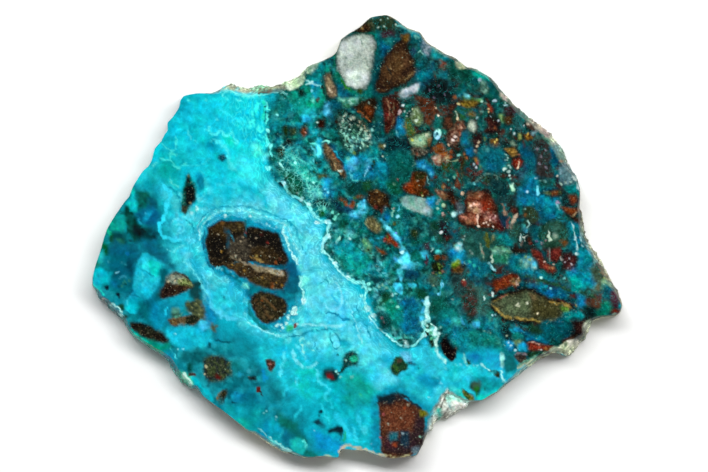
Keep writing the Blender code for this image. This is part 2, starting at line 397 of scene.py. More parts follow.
# The turquoise ground's own marks, left part: growth lines, pools and dark patches.
LEFT = """
pool 04d2e4 3 154,146 158,146 159,156 154,156
pool 20d0d8 2 131,181 137,178 143,181 137,184
pool 0090a0 6 141,182 148,176 155,182 148,189
pool 08a8a8 5 160,160 174,160 176,178 160,178
pool 00a0b8 4 205,140 214,140 215,150 206,150
pool 40dcf0/58e8f4/.5/5 6 240,160 255,160 257,182 240,180
pool 60e0f0 4 230,204 245,203 246,214 230,215
pool 62e2f0 3 251,204 259,204 259,211 251,211
pool 50dcf0/70ecf8/.5/5 6 268,186 280,190 284,214 270,212
pool 10b8cc 3 240,183 255,188 264,197 268,207 265,208 260,200 252,193 240,188
pool 10b8cc 4 216,152 222,150 228,156 224,163 217,162
vein 10bccc 3 228,190 229,200
vein 60e8e0 1.2 160,142 164,146 170,149 172,151
vein 60e8e0 1.2 176,136 176,146 172,151
vein 60e8e0 1.2 172,151 175,155 177,154
vein 60e8e0 1.2 171,152 170,158 168,160 160,158.5
vein 60e8e0 1.2 170,160 174,164 178,168 180,171
vein 60e8e0 1.2 158,161 154,164 153,166
vein 60e8e0 1.2 180,169 183,165 186,163
vein 60e8e0 1.2 170,177 172,182 175,185 179,187
vein 48dce4 1.0 183,165 200,165 210,158
vein 48dce4 1.0 200,171 205,181 204,194 195,209 188,218
vein 80f0f0 1.4 221,93 224,97 228,99
vein 80f0f0 1.2 230,91 237,95
vein 80f0f0 1.2 236,100 241,101
vein 90f0f0 1.4 240,94 248,96 250,99
vein a0f4f0 1.3 218,91 228,91 237,94 244,96.5 249,98 254,95 258,94 262,96 266,94.5 272,92.5 280,93.5 287,95.5
vein 40e0f0 2 220,110 228,114 234,118 241,123 245,129 247,134
vein 60e4ec 1.3 188,130 189,135 192,140 197,141
pool 10d8c8 3 222,134 229,134 234,138 232,143 224,141
vein 70f8f8 2.4 205,133 206,130 209,130 213,134 217,134 220,131 222,133 225,136 229,135 232,133 235,138 238,141 236,143 231,140
vein 60e8f0 4 212,140 220,142 225,147 228,152 230,160 232,167 236,171
bead 70f0f0 1.4 218,120 209,127 189,101 206,100 250,122 254,123 258,128 260,132
vein 70f0f0 2 251,113 253,116
vein 60e8f0 1.6 257,101 259,108
vein 60e8f0 2 264,100 267,112
vein 50fce8 2 257,100 257,106 256,112
vein 58fff0 1.6 251,111 252,114 253,117
vein 60fff4 2 250,128 250,123 253,121 254,127
vein 70fff0 1.2 258,126 258,130 261,132 263,129 262,125
vein 2cd8bc 3 263,100 264,110 263,120
vein 80fff0 1.6 267,102 268,108 269,110
vein 80fff0 1.6 266,114 268,119 266,124
bead b8fff4 2.2 268,130
vein 60fff0 2.4 256,144 255,150 256,158
vein 48ecf0 1.3 256,136 262,137 267,141 270,146
vein 48ecf0 1.3 254,140 260,141 265,144
vein 70f8f0 2.2 266,134 267,140 267,147
vein 88fff4 2.2 271,143 271,150 272,157
vein 38e0ec 1.4 244,120 247,124 249,129
vein 38e0ec 1.4 240,117 244,122 246,130
vein 40e4ee 1.3 243,97 247,99 252,98 257,96
vein 10b0b8 1.4 253,100 253,108 254,116 255,124
vein 08a8b4 1.2 260,104 260,112 260,122
bead 0a5a58 1.2 265,106 265,113 265,121 270,150
bead 90f8f4 2.2 269,145
bead 90f8f4 1 277,115
bead 90f8f4 2.6 268,168
pool 68e8e0/90f4ea/.5/3 4 254,145 263,149 271,156 262,158 254,153
stone 0a5060 1.5 218,156 224,154 227,158 223,162 218,160
vein b0f8f8 1.4 205,216 200,223 198,228 199,235
vein b0f8f8 2 196,205 198,210
bead a0f4f8 1.8 192,213
stone 0c6a60/101c1a/.3/4 2 188,172 195,183 197,191 192,202 186,214 180,207 183,189
pool 0a1214 2.5 186,187 192,184 196,190 194,200 188,208 184,200
stone 30382a 1.5 182,205 188,206 186,214 181,212
bead 8a8058 1.2 188,176 190,203
pool 0788a9 2.5 197,174 203,176 203,187 198,188
pool 006a60 2.5 138,192 147,193 155,198 158,205 155,210 143,208 138,205 137,197
pool 05587c/066a88/.5/4 5 134,207 141,210 150,206 159,210 160,220 155,229 148,227 140,222
bead 10a0b8 1.6 140,222
pool 00352e/06504a/.35/4 1.8 126,206 131,210 136,218 143,226 150,228 156,233 157,238 150,245 145,248 138,245 130,235 127,225 124,215
pool 100c0c/0a2428/.4/2 2.6 133,228 138,226 144,230 142,237 134,236
pool 06564c/067064/.5/3 1.4 139,193 147,193 150,199 146,207 141,207 138,200
pool 06586c 1.6 148,198 156,199 157,207 149,207
bead 053c3c 1.6 140,196 145,200 141,206 151,203
pool 06c4b8 1.6 130,190 134,188 134,197 131,200
pool 08c4c0/10b0c4/.5/4 2 126,203 132,198 137,204 138,212 133,210
pool 0a94b4 1.6 144,218 147,212 151,212 151,217 147,220
bead 30a0c0 1.4 139,220 141,223 146,214
pool 063c48/085060/.5/3 5 148,228 155,228 157,236 154,242 149,240
bead 0a5a44 1.8 150,236
bead 083034 3 143,243 147,248 153,238
vein 1c6a64 0.9 141,246 147,246 151,243
bead 0a3440 1.6 130,240 116,236 114,248
pool 099c90 3 115,217 125,217 126,226 121,233 112,228 109,223
pool 0a9a98/08b0a4/.5/3 1.6 117,217 124,216 124,224 122,232 118,230 115,222
bead 0a5a5a 1.2 116,223 121,214 119,212
vein 08b89c 1.8 110,222 114,226 117,230
vein 06b48c 3 106,228 109,232 110,236
bead 10b890 2 108,232
pool 003c46/064c50/.5/4 3 113,233 122,232 129,238 127,248 116,249 112,240
pool 1a6a50 2 118,238 123,239 123,247 118,248
pool 005828 2.5 101,245 107,243 110,250 108,256 104,255
pool 044a58 2.5 108,247 113,248 113,256 109,257
pool 0c4a28 1.4 109,236 112,235 112,243 109,242
bead 1c7868 2 119,239 121,244
pool 0b86a8 1.6 125,250 130,251 129,256 125,256
pool 20b8b8 3 98,254 103,254 103,262 98,262
pool 0a6478/067088/.5/5 3 112,240 130,244 150,240 162,244 170,258 174,270 166,268 158,259 150,254 142,254 134,264 122,262 112,258
pool 007f90/048898/.4/5 6 108,255 134,256 134,290 116,292 106,280
pool 005060 4 128,262 134,263 134,276 128,276
pool 00cad8/14b4cc/.4/5 2.6 92,272 98,268 105,269 111,275 107,283 99,287 94,288 91,281
bead 2a8a50 2 97,266
bead 1090c8 2.4 127,253
vein b0f8ff 1.6 115,273.5 119,272
vein 48b8c8 1.2 119,279 124,276.5 128,278
bead 4ab090 1 123,283 122,286 127,282 129,281 125,281
bead 084828 1 126,284 118,286
bead 3aa8b0 1 109,262 122,262 125,264
pool 0888b0 2 112,281 117,281 117,288 112,287
bead 062838 1.6 106,287 119,297
bead 081828 3 118,294
vein 082030 2.2 106,287 108,289
vein 20d8c8 2.2 92,284 100,290 104,296
pool 14bcd4/24d0e4/.45/4 1.3 147,254 152,257 160,263 165,265 164,271 160,280 156,290 152,296 147,299 143,301 140,308 134,313 127,312 124,308 127,301 131,294 134,286 134,279 135,272 137,264 141,257
pool 28dcec 1.2 143,262 148,257 150,262 150,270 146,272 142,267
pool 00c8c0/10d4cc/.5/4 1 150,260 158,262 160,266 159,275 154,277 150,274
vein 0a90a4 1.4 142,269 147,273 153,277
vein 08a0a8 1.2 161,263 161,270 159,277
pool 18d0e4 1.2 147,279 153,279 154,285 149,287
vein 30d8ec 1.3 136,274 138,280 135,284 138,286 134,289
vein 38e0f0 1.3 141,272 143,278 142,284 144,287
pool 10c8dc 1.2 142,290 150,289 150,296 144,298
vein 0a9ab0 1.6 131,296 138,297 144,299
pool 08c8d8/00b8c0/.4/3 1.2 127,301 134,298 142,299 141,306 134,312 127,311
vein 40e0f0 1.3 128,300 127,305
pool 005a64 4 162,268 168,272 166,282 160,292 156,296 160,282
pool 00606a/046c74/.5/4 4 140,302 154,300 156,318 144,322 138,312
pool 0890b0 3.5 150,305 166,303 168,318 160,328 150,324
vein 20d8f8 2.6 166,307 166,315
pool 104a38 1.5 119,304 124,305 124,310 119,309
pool 1a3010 1.5 124,314 128,315 128,319 124,318
pool 008878/00a080/.4/5 4 140,336 166,342 168,354 150,354 140,346
pool 00a878 2.4 152,345 158,347 157,352 152,350
stone 181410/2a2a1c/.4/3 2 130,322 140,322 152,327 160,331 166,335 169,339 166,343 158,342 148,339 140,335 133,330 129,326
vein 00c8b0 3.5 127,330 135,335 142,340 148,342
vein b0dcb8 1.4 131,336 134,337
vein b0dcb8 1.8 143,343 150,347
vein 80dcc0 2.5 124,318 125,328 127,331
vein b8f8f0 1.6 112,303 117,307 121,312 123,317
vein d8d0c8 2.4 104,299 107,303 106,306
vein c8c898 2 113,312 119,319
vein 50e8f0 1.5 170,347 173,353 177,358
pool 0890a8 4 164,350 175,350 176,360 166,360
vein c8f4f0 1.6 175,369 180,373
pool 20b898/50d0b0/.4/2.5 2 177,371 190,374 192,388 184,384 176,378
vein c8f8e8 2 183,373 188,378 191,384 192,388
stone 50302a 1 188,373 196,373 196,376 188,376
pool 0a4448/10383c/.5/4 3 188,284 200,282 202,300 196,304 190,296
stone 4a3822/1c1410/.55/2.6 1.3 160,298 163,288 167,279 170,274 176,272 183,273 188,277 192,284 191,288 186,291 180,294 170,297 163,299
pool 64786c/98a08c/.5/1.4 2.4 167,279 171,274 178,273 184,277 186,282 178,284 170,283
pool 98a868/4a5a28/.5/1.2 2 178,279 186,279 192,285 186,287 180,284
pool 140e0c/30201a/.5/1.4 3 162,289 170,284 178,286 180,292 170,296 162,297
bead 2c1c14 1.4 176,279 170,282
bead c8b890 0.9 172,277 176,280 181,281 169,281
vein 301a14 1.2 179,288 187,287 190,288
pool 107878 4 186,302 198,302 200,314 190,317 186,310
pool 80d0e8 2 189,308 195,304 197,308 192,313
vein 4a5a48 5 198,302 203,310 208,318 212,325 215,330
stone 4a3820/6a5230/.4/2.4 1.3 168,320 172,318 178,318 186,316 193,315 199,316 200,320 196,324 188,327 178,326 170,325
pool 58a088/2c5a4c/.4/2 2 172,309 178,308 181,314 177,318 171,317
pool 2c3a2c/56603c/.5/2 1.8 186,303 198,299 206,312 214,326 210,332 202,322 192,316
bead 9aa070 0.8 196,304 201,310 205,316 209,322 199,314 204,322 192,308 186,322 178,324 172,322
pool 5a4a30 1.2 176,318 184,318 184,324 177,324
pool 1c2418 1.4 186,318 196,316 198,322 188,326
pool 40c8e8 1.6 201,320 209,322 209,329 203,330 200,326
pool 0cb4d0/18c4dc/.4/4 3 168,328 180,326 195,328 210,331 214,335 207,342 200,348 190,350 180,350 173,344 168,336
bead 90f0f8 0.9 178,349 184,349 175,334
vein 045868 2 216,340 224,341 232,342
vein 064a54 2 209,343 211,349
pool 04545c/0a6c74/.5/3 4 180,353 204,351 206,362 184,363
stone 3c4a2c/20282a/.5/2.4 2 203,360 210,355 222,356 231,362 232,374 224,381 210,382 203,374
bead 5a1412 2.4 216,377 219,378
bead b8b890 1.3 206,367 205,374
pool 00403a 2.5 187,364 193,364 193,372 187,372
vein 00c0d0 4.5 192,378 200,385 208,393 213,400
pool 0a7478 3 230,361 239,361 240,369 231,369
bead 1aa0c0 2.6 241,374
bead 30a0b0 2.4 249,371
stone 14201e 1.4 248,376 256,376 256,381 249,380
stone 4a3024/2a1c18/.4/2 1.2 266,359 270,358 275,362 275,366 272,372 269,370 266,364
bead a06a60 1.4 270,364
vein 40d8e8 1.6 283,352 286,358 284,364 282,373
bead 7a2018 2.8 258,390
vein 301818 2 259,392 262,396
vein 0a90c8 2.6 262,370 266,382
stone 3a2c18 1.4 219,402 218,397 222,391 226,389 227,393 225,399 224,404 220,404
vein a06a30 1.3 218,401 218,396 222,391
pool 1aa8c8 2 230,398 236,391 240,397 238,403 232,404
bead 06303c 1.1 237,393 235,405
vein 06303c 1.6 231,403 240,403
bead a0f0f0 0.8 260,410 267,411 264,413 276,417 275,420 315,431
pool 07788c 5 238,394 256,396 256,414 242,414
pool 0a9fa8/14b0b4/.5/6 6 222,406 258,408 262,430 240,430
pool 14b8a8 4 237,421 247,421 247,429 237,429
pool 089cb4 5 262,420 286,420 286,440 264,440
vein 28c8dc 1.8 289,422 284,428 280,436
pool 087890 5 282,426 300,426 300,445 284,442
vein a0f0ec 1.5 258,429 263,432 267,436
vein a0f0ec 1.2 270,437 273,440
vein a8f4ec 1.5 277,441 285,448 295,455
pool 60d8d8 2 270,441 275,442 275,447 270,446
pool 0a90b8 4 206,300 214,302 215,322 206,320
vein 50d8f8 4.5 205,280 208,290 210,300 214,308 222,315 230,318 245,320
pool 20c4dc/34d2e8/.5/5 5 212,284 235,286 236,312 222,314 213,302
bead 108098 1.6 224,297
vein 28c8e0 1.6 241,283 243,292 246,300 248,310 250,320
vein 60e8f0 1.4 172,222 178,218 184,217 190,214
vein 58e0ec 1.2 174,226 180,224 184,228 182,233 176,234
vein 0a98ac 1.4 186,220 192,226 196,234
vein 60e8f0 1.4 166,250 172,252 178,248 184,246
vein 0890a4 1.3 165,240 172,243 180,243
vein 0898b0 2 168,186 176,192 180,200 180,212
vein 68ecf4 1.5 183,262 190,268 197,276 203,286 208,298
vein 0aa0b8 1.3 190,262 197,270 203,280 208,290
vein 31dbf5 3.6 163,183 167,190 170,195 167,202 165,210 164,217 160,224 160,230 163,236 170,239 178,241
"""

# Dark clouds under the left part's pools.
LEFT_CLOUDS = """
pool 055c66 7 124,206 148,200 158,212 154,232 140,246 122,238
pool 023438 6 128,214 136,222 152,230 154,240 144,246 130,234
clouds 033b37/.5/.85 16 104,236 122,200 150,196 160,214 160,246 136,262 112,262
clouds 046464/.45/.7 13 96,250 122,200 150,196 160,214 164,250 136,262 130,290 150,318 128,318 104,286
clouds 0788a9/.4/.7 15 96,250 122,200 150,196 160,214 164,250 136,262 130,290 166,300 180,330 128,318 104,286
clouds 0aacb4/.25/.6 9 96,250 122,200 150,196 160,214 164,250 136,262 130,290 150,318 128,318 104,286
clouds 0a4a50/.35/.8 14 160,262 190,270 212,300 200,330 160,320 156,292
clouds 0a90b0/.4/.6 12 150,262 190,270 216,300 214,340 160,340 146,310
clouds 066c7c/.55/.75 18 150,330 230,330 280,380 320,440 300,458 240,424 180,376
clouds 0a4a54/.28/.75 12 150,330 240,340 280,380 320,440 300,458 240,424 180,376
clouds 10a8b8/.25/.6 9 150,330 240,340 280,380 320,440 300,458 240,424 180,376
"""

# Faint clouds over them again, which leave no plain patch.
LEFT_HAZE = """
clouds 034a50/.3/.4 7 92,262 112,215 135,190 160,200 164,240 150,262 130,300 150,325 230,345 290,420 310,455 240,440 180,380 98,285
clouds 0c9aa8/.3/.45 6 92,262 112,215 135,190 160,200 164,240 150,262 130,300 150,325 230,345 290,420 310,455 240,440 180,380 98,285
clouds 0a7c50/.15/.4 8 92,262 112,215 135,190 150,200 130,240 110,280 98,285
clouds 30d0dc/.12/.5 5 100,270 150,262 166,300 150,325 230,345 290,420 310,455 240,440 180,380 98,285
clouds 0aa0c0/.35/.3 9 140,165 160,130 178,88 228,82 262,90 262,190 205,210 150,200
clouds 30e0ea/.2/.35 6 140,165 160,130 178,88 228,82 262,90 262,190 205,210 150,200
"""

# The three big dark fragments in the pale band, with their blue rims and the white lines round them.
DARK_FRAGMENTS = """
pool 0a90b0 4 204,226 214,218 226,214 246,216 262,222 280,228 284,240 290,252 300,268 302,284 300,300 296,312 286,324 272,330 256,324 248,308 246,294 240,288 226,278 212,270 204,256 202,240
pool 0a7c94/065a70/.5/4 4 246,284 262,288 286,288 300,280 302,290 296,304 284,300 268,292 252,296
pool 0a7088/06566c/.5/4 4 276,262 294,266 299,280 297,292 288,292 284,276
pool 007c88 2.5 249,286 259,288 258,294 250,293
stone 14120e/2e2416/.4/2.4 1.4 207,228 212,225 218,221 222,220 228,221 235,220 243,221 246,227 252,227 258,228 266,230 274,232 278,233 280,238 282,246 287,254 289,260 286,265 278,266 268,265 258,263 250,262 244,264 236,262 226,266 218,268 214,267 210,263 208,257 206,249 205,243 206,238 208,233
stone 2a2218/4a3a20/.45/2.6 1.4 222,264 236,262 245,262 255,266 265,268 275,270 286,270 289,273 288,280 284,287 283,290 275,290 265,288 258,285 250,283 246,278 240,277 235,272 228,269
stone 33301c/1c1812/.45/2.2 1.6 251,298 255,294 262,291 270,293 278,295 284,299 288,306 287,312 283,317 276,321 268,325 262,323 256,317 252,309 250,303
vein 0a4a5c 3.5 227,227 228,236 230,247 235,251
vein 3088a0 1.2 230,233 235,243 240,248
vein 0c6470 2 245,218 246,228 246,245 244,255
pool 4a4438/2a2620/.5/2 2.4 238,236 262,240 272,250 252,260 234,260 228,250
pool 3a2c14 3 214,226 226,224 226,240 214,246
bead 6a4a20 2.2 223,223
pool 5a4c28/2c2416/.5/2.4 2 231,223 243,223 242,229 232,230
pool 12100e 4 210,236 224,236 226,252 214,258
pool 141210 4 250,232 276,236 280,252 262,254 250,246
pool 3c2e18/241c12/.5/2.4 3 252,250 270,248 280,258 266,263 254,260
bead 9a8440 1.6 257,257 260,260
bead b8a888 0.8 243,237 241,242 256,238 262,253 218,234 224,246 236,256 270,256 250,246 266,246
bead 8a3028 0.9 246,232 262,236 268,242 280,258
bead a8802c 0.9 222,252 232,264 244,270 262,278 276,282 282,286
vein 0a5468 2.4 252,262 264,266 276,267 288,266
vein 8a7c60 1.5 230,256 240,261 250,265 258,268
vein a08040 1.3 250,256 258,260 264,262
pool 827655/b0a484/.45/2.2 1.6 254,265 268,267 282,271 282,276 268,273 256,271
pool 4a4020/2a2416/.5/2.2 2 250,277 262,279 272,284 262,287 252,283
bead 8a4a20 1.3 276,262 272,286 262,300
vein 5a4428 1.6 254,300 262,306 270,318
vein 6a5030 1.4 262,295 270,304 280,312
vein 5a4a30 1.4 256,308 264,318
bead 6a5a38 1 262,298 268,304 274,302 280,310 266,312 272,318 258,308 284,306
vein 50c0d8 1.3 207,227 215,220 225,216 240,216 246,218
vein 8cf4f4 1.3 200,240 202,228 208,219 218,213 232,210.5 248,211.5 262,216 276,221 287,226 291,236 296,248 303,260
vein 0aa0bc 1.4 196,244 198,228 205,215 218,208 236,206 254,208 270,214 286,220 296,230 300,244 308,256
vein 50c0d8 1.3 250,219 258,222 268,227 278,229
vein 40b8d0 1.3 280,232 284,245 289,252
bead c0f8f8 1.8 250,216 225,216
vein b0f4f4 1.6 248,216 252,217
bead 90e8f0 1.1 267,224 270,226 277,227
vein a0f4f8 2 284,225 283,231 286,240 289,248
bead 70d8e0 1.1 231,272 234,275 238,278 217,267 222,270 219,268
pool 70e8d8 2 243,283 248,283 248,288 243,288
vein 006878 4 222,268 228,274 235,277 240,283
vein 088088 3.5 250,300 249,310 254,318 260,326 268,329
bead c0fcf8 1.7 288,318 283,327
bead 90f0e8 1 280,318 284,314 290,311 293,320 281,330
bead b0f0f0 1.8 277,325 281,324
vein 086080 2 205,230 203,240 204,252 208,262 214,269
"""

# The pale band and the turquoise at the bottom: contour lines, pale rings and dark spots.
MIDDLE = """
vein b8fffa 2.2 284,225 283,231 286,240 289,248 293,256 296,262 300,268
vein 8cfcf8 3 279,181 284,185 288,191 293,196 301,199 307,203 312,211 316,217 321,221 327,222
bead c0fffc 2.4 284,183 301,199 309,204
bead c8fffa 2.8 317,222 327,222
vein a8fffa 3 328,222 330,225 327,230 329,236 325,239 323,245 324,252 329,258 334,263 337,268 341,272 346,277
bead c8fffc 2.6 328,236 335,264
bead d0fffc 3 347,277
bead 0c8088 1.1 326,225 329,233
vein 38c0d4 1.3 282,188 287,198 297,202 304,208 311,220 316,226 322,227
vein 94fcf4 2.4 348,278 352,281 358,283 363,283 367,284
vein 98fcf4 2.6 362,282 366,288 366,295 365,303 367,309
bead a0fcf0 1.6 370,289 369,284 363,287 362,296
bead b8fffa 3 368,309
bead c0fffa 3.4 372,316
bead 90f8e8 1.8 371,312 375,321
vein a8fcf8 1.8 368,317 375,324 384,332 394,341 404,346 412,347
vein 18a0b4 1.2 370,316 377,323 386,332 396,341
vein 90f8f0 2 409,347 416,344 421,338 424,330 423,322
stone 74f0e4 1.2 299,276 304,275 310,279 305,283 303,288 300,286
vein a0fcf8 2.2 301,278 300,285 303,290 303,298 304,303
bead d0fffc 2.4 304,300
bead c0fffa 2.4 304,303 295,309
bead d0fffa 2.5 295,312
bead c4fffa 1.5 289,316 293,313
bead c8fffa 2 287,324
bead b0f8f8 2 277,325
stone 7a4040 1 293,323 296,322 297,327 295,329 293,327
bead c0f8f0 1.4 297,324 289,330
pool 30c088 2 287,326 293,327 292,332 287,331
vein 60f0e8 1.2 297,314 299,309
bead 60f0e8 3 300,267
pool 065a78 2.4 286,262 294,265 298,272 295,277 288,272
vein 0890a4 1.6 318,284 323,282 326,279 327,281 329,284
vein 0890a4 1.2 326,278 330,274
vein 94f4fc 2.4 337,284 341,292 342,300 340,305 335,309 328,308 325,303
pool 74ecff/60e4f4/.5/4 4 329,300 339,298 339,307 330,308
vein 0c90ac 2.4 325,314 330,312 336,314 343,319 350,320
vein 18a8c8 2.4 352,312 354,320 354,326
bead 18a8c8 1.3 322,314 328,323
vein 70ecfa 1.6 327,317 330,319
vein 28c8e4 1.4 331,295 336,300 338,304
vein 70e8f8 2 308,303 310,308
vein 20b4c8 1.5 311,327 319,326
vein 0a8ca4 1.7 283,339 293,336 300,335 307,332 318,330 328,329 338,331
vein 90f2f8 2 300,326 315,324 330,327 345,324
vein 0c9cb4 1.4 262,322 276,330 290,332 306,326
vein 8cf4fa 1.5 247,322 262,330 280,336
vein 0a94ac 1.4 356,306 362,318 368,330 372,342
vein 88f2fa 1.5 346,300 352,314 358,330 362,344
pool 60e8f8 1.6 332,337 336,337 338,343 335,348 332,344
vein 0c90a8 1.6 330,333 331,340 333,347 337,349 341,344 338,336 333,331
vein 0c98b0 1.5 312,339 316,345 320,352
pool 10b0c8 4 338,338 348,338 350,346 342,348
vein a0fff0 1.1 301,338 300,342 302,346 303,351 305,352
bead 80f0e8 1.1 303,338 308,343 313,350
vein 70e8f8 2.6 292,350 294,358 299,364 305,367 312,366 317,363
vein 50e4f4 2.2 285,352 284,360 281,368 281,376
vein 50e0f0 1.8 294,344 304,354 308,360
pool 0cc0cc/10c8c0/.5/5 6 300,372 318,376 318,396 302,396 294,384
vein 48e4f6 2.6 315,368 318,372 318,379 323,385 329,388 327,393 325,397 328,402
vein 30dcf0 1.8 320,403 324,410 327,418 329,425
vein 30dcf0 1.6 330,400 333,409
bead 60ecf8 1.8 297,383
vein 30d8ec 1.8 297,377 297,386
vein 28d0e4 2.2 283,396 284,391 290,389 298,389
vein 20d0e0 2.4 301,402 300,410 297,414 295,418
pool 0a3a48 2.2 312,422 318,419 323,421 325,426 318,426
bead 083848 1.5 320,416 321,412
pool 061e2a/0a3038/.4/3 2.4 327,430 334,427 341,426 344,430 341,435 336,433 330,434
vein 0a4850 2.4 340,433 340,440
bead 0a3050 1.6 331,440
pool 0890c8 5 314,432 330,436 342,444 340,456 326,452 314,444
pool 0aa4dc 3 326,442 336,444 337,450 327,449
vein 28d4ee 4 335,414 341,422 348,430 350,437
vein 30dcf0 3 353,428 355,436 357,443
vein 28d0e8 2.4 357,414 360,426
pool 40dcf8 2 360,427 366,428 366,433 361,433
bead c0f0f8 1.1 372,443 375,448
vein 1cb080 3 346,433 343,442
pool 066058/087068/.5/5 4 274,408 286,418 298,426 304,438 311,448 318,457 306,457 298,444 290,432 280,422
pool 18bcb8 2.4 291,441 299,438 304,444 304,450 297,453 291,448
vein 50e0d8 1.5 303,440 306,447
vein 90f0ec 1.6 275,440 285,448 294,456
stone 0a4c48/0c3438/.5/3 2 345,353 351,350 357,353 359,360 357,366 349,367 342,368 343,360
pool 20b890 1.8 350,357 356,356 358,361 352,362
bead 90d4c4 1.6 346,360
bead 041830 2.2 346,366
bead 06202c 2 354,363
bead 107070 1.8 338,355
bead 60e8e8 1.1 354,350 357,352 351,349
pool 062c30 3 322,370 330,368 337,372 337,379 331,382 324,378
pool 8a1818 1.6 327,374 332,374 333,378 328,379
vein 0a3830 2.6 336,374 341,371 347,366
bead 90e8e0 1.2 336,371 338,374 340,377
bead b0fff8 2.2 352,377
bead 80c090 2 349,386
vein 80e8d8 1.2 353,384 355,387
pool 0a9890/10a8a0/.5/5 6 344,374 364,376 372,392 362,408 348,400 340,386
bead 28b890 2.4 361,395
pool 50e0f0/6ce8f8/.4/5 4 372,368 384,366 388,386 374,388
pool 30d0e8 4 366,368 378,364 384,380 372,384
vein 60e8f4 1.6 425,352 432,359 438,366
vein 60e8f4 1.2 428,350 436,357
vein b0fcf8 2.4 434,345 437,352
vein b0fcf8 4 438,355 441,358 444,362
vein a0f4f0 2 436,360 443,366 447,368
vein 80f0fc 2.8 436,377 441,384
pool 10a0b8 3 423,370 431,372 431,382 424,382
pool 0a98b8 3 418,375 440,376 440,386 420,386
pool 68ccf0 2 401,354 408,353 417,358 412,361 404,359
pool 70e8f4/58e0ec/.4/4 3.5 384,368 392,374 398,380 388,384
bead 90f4f8 1.3 403,393 409,397 429,397
pool 10aac4 5 384,386 400,384 404,392 388,394
pool 1cb0c0 4 398,384 418,386 424,396 408,398
"""

# Bigger fragments in the turquoise at the bottom, and the flake's scar on the lower right edge.
LOWER_FRAGMENTS = """
pool 0a90a8 4 372,402 384,392 400,388 416,396 430,408 430,440 424,456 376,458
stone 563220/3c2218/.45/3 1.1 378,402 383,398 390,396 398,394 403,398 410,402 418,406 424,411 425,420 424,430 423,437 422,444 418,452 410,457 400,458 392,460 385,458 381,452 381,445 380,435 380,425 379,415 378,408
vein 1a2a30 2.4 378,402 386,397 398,393 410,401 421,408
pool 6c3c26/5a3020/.4/2.4 3 384,410 400,404 414,412 416,420 404,430 386,430
pool 342228/2a2020/.5/3 3 416,416 424,416 424,440 418,450 400,454 384,450 384,440 400,436 412,434
pool 10242c 2.4 378,398 388,394 400,394 404,398 392,402 380,404
pool 3c2028 3 382,437 391,436 393,446 384,447
pool 1a7080 2 389,433 396,433 397,439 390,440
pool 1c3848 2 401,432 409,433 409,446 402,446
bead 90a8b0 1.3 403,433
bead 90c8b0 1.6 420,437
pool 6a6a18 1.6 420,409 426,411 426,416 421,416
bead 8a3c20 2 395,445 405,408
pool 607880 2 414,447 420,447 420,454 414,455
vein b0a878 1.2 384,455 396,457 412,455
bead b0a890 0.8 408,405 401,418 388,424
bead a05050 1.2 380,438 383,414
stone 184028/20482c/.4/3 1.4 391,365 394,359 397,356 401,357 404,361 408,364 408,368 404,371 400,372 397,376 392,374 390,369
bead 4a3c30 2.4 399,361
vein 3c6a28 1.3 393,366 398,371
stone 083848 1.4 407,362 412,361 416,364 415,366 410,365
bead 0c7080 1.2 418,368
stone 183a18/2a3a20/.4/2.4 1.2 427,342 430,338 433,341 434,346 431,348 427,346
bead 282c14 2.2 427,334
vein b4fffc 5 427,299 428,305 426,311 427,317 427,322
bead d0fffe 2.2 427,298 428,304 426,318
vein a0f8f4 2 423,318 422,326 424,332 422,338 417,343
pool 48b0e0 1.6 422,300 425,303 421,310 417,313 415,316 419,317 421,321 424,316 426,308
stone a0fff0/60e0c8/.35/2.4 1.2 429,326 433,324 438,327 441,328 437,330 440,332 439,336 436,341 438,345 436,351 433,342 432,337 428,333
vein c8fff4 2.4 432,324 436,328 434,332 438,335 436,341 436,348
vein b0fff0 1.8 424,329 429,331 433,336
bead c8fff4 1.3 427,326 440,327 439,333 425,336
vein c0fff8 2.6 435,350 439,356 443,361 446,364
bead 60d090 1.4 431,338 430,333
stone 1a4a18/3a7a20/.4/2 1 466,360 467,358 470,361 471,364 470,366 467,364
vein 90f0e0 1.3 464,353 465,358 466,364 470,367
bead 80f0f0 1.4 456,366 460,365 477,366 474,365
pool 0a4038 1.6 460,371 465,370 471,372 465,376 461,376
pool 1088b8/0a70b0/.4/4 4 470,352 484,352 482,362 470,362
pool 14b0d8/1ca0d0/.5/4 4 482,350 500,350 508,366 490,368
stone 243018 1.2 488,369 492,370 496,370 500,374 501,379 497,378 492,374
vein a8fcf8 2.6 482,364 487,368 490,370
pool a8fcf8 1.4 500,354 504,354 504,366 501,367
vein a8fcf8 1.8 500,371 502,376 504,382
bead 0c2a20 1.6 502,383
pool 14c4d4/2cd4e4/.45/5 4 448,368 470,366 490,372 486,382 462,386 450,382
pool 0a9ca4/0a8c98/.5/4 3 470,381 486,378 500,381 502,386 490,392 474,389
pool 10d8c8 2.4 476,396 490,393 504,385 500,392 486,400
pool 10d0c8/40e0d8/.4/4 4 448,384 460,388 466,398 456,406 450,396
pool 0a3a30 2 470,385 476,383 481,388 479,396 474,392
bead 6a5838 2 475,389
pool 3a5a48 2.4 472,382 479,381 480,388 474,390
vein 187020 4 475,388 477,396
stone 2c5018/706a28/.4/2 1.2 462,389 468,392 473,397 475,401 468,401 464,396
vein 142018 1 463,389 469,393 475,399
bead 0c4a30 1.6 485,390
pool 2cc8d8 4 424,340 442,360 440,376 424,368
pool 30d0e4 3 412,350 428,352 424,366 412,362
stone 0c0608/1c1014/.4/4 1.2 440,343 444,336 450,331 455,331 458,336 458,342 457,350 456,358 452,362 446,358 440,350
vein 3a1410 1.2 456,336 455,348
"""

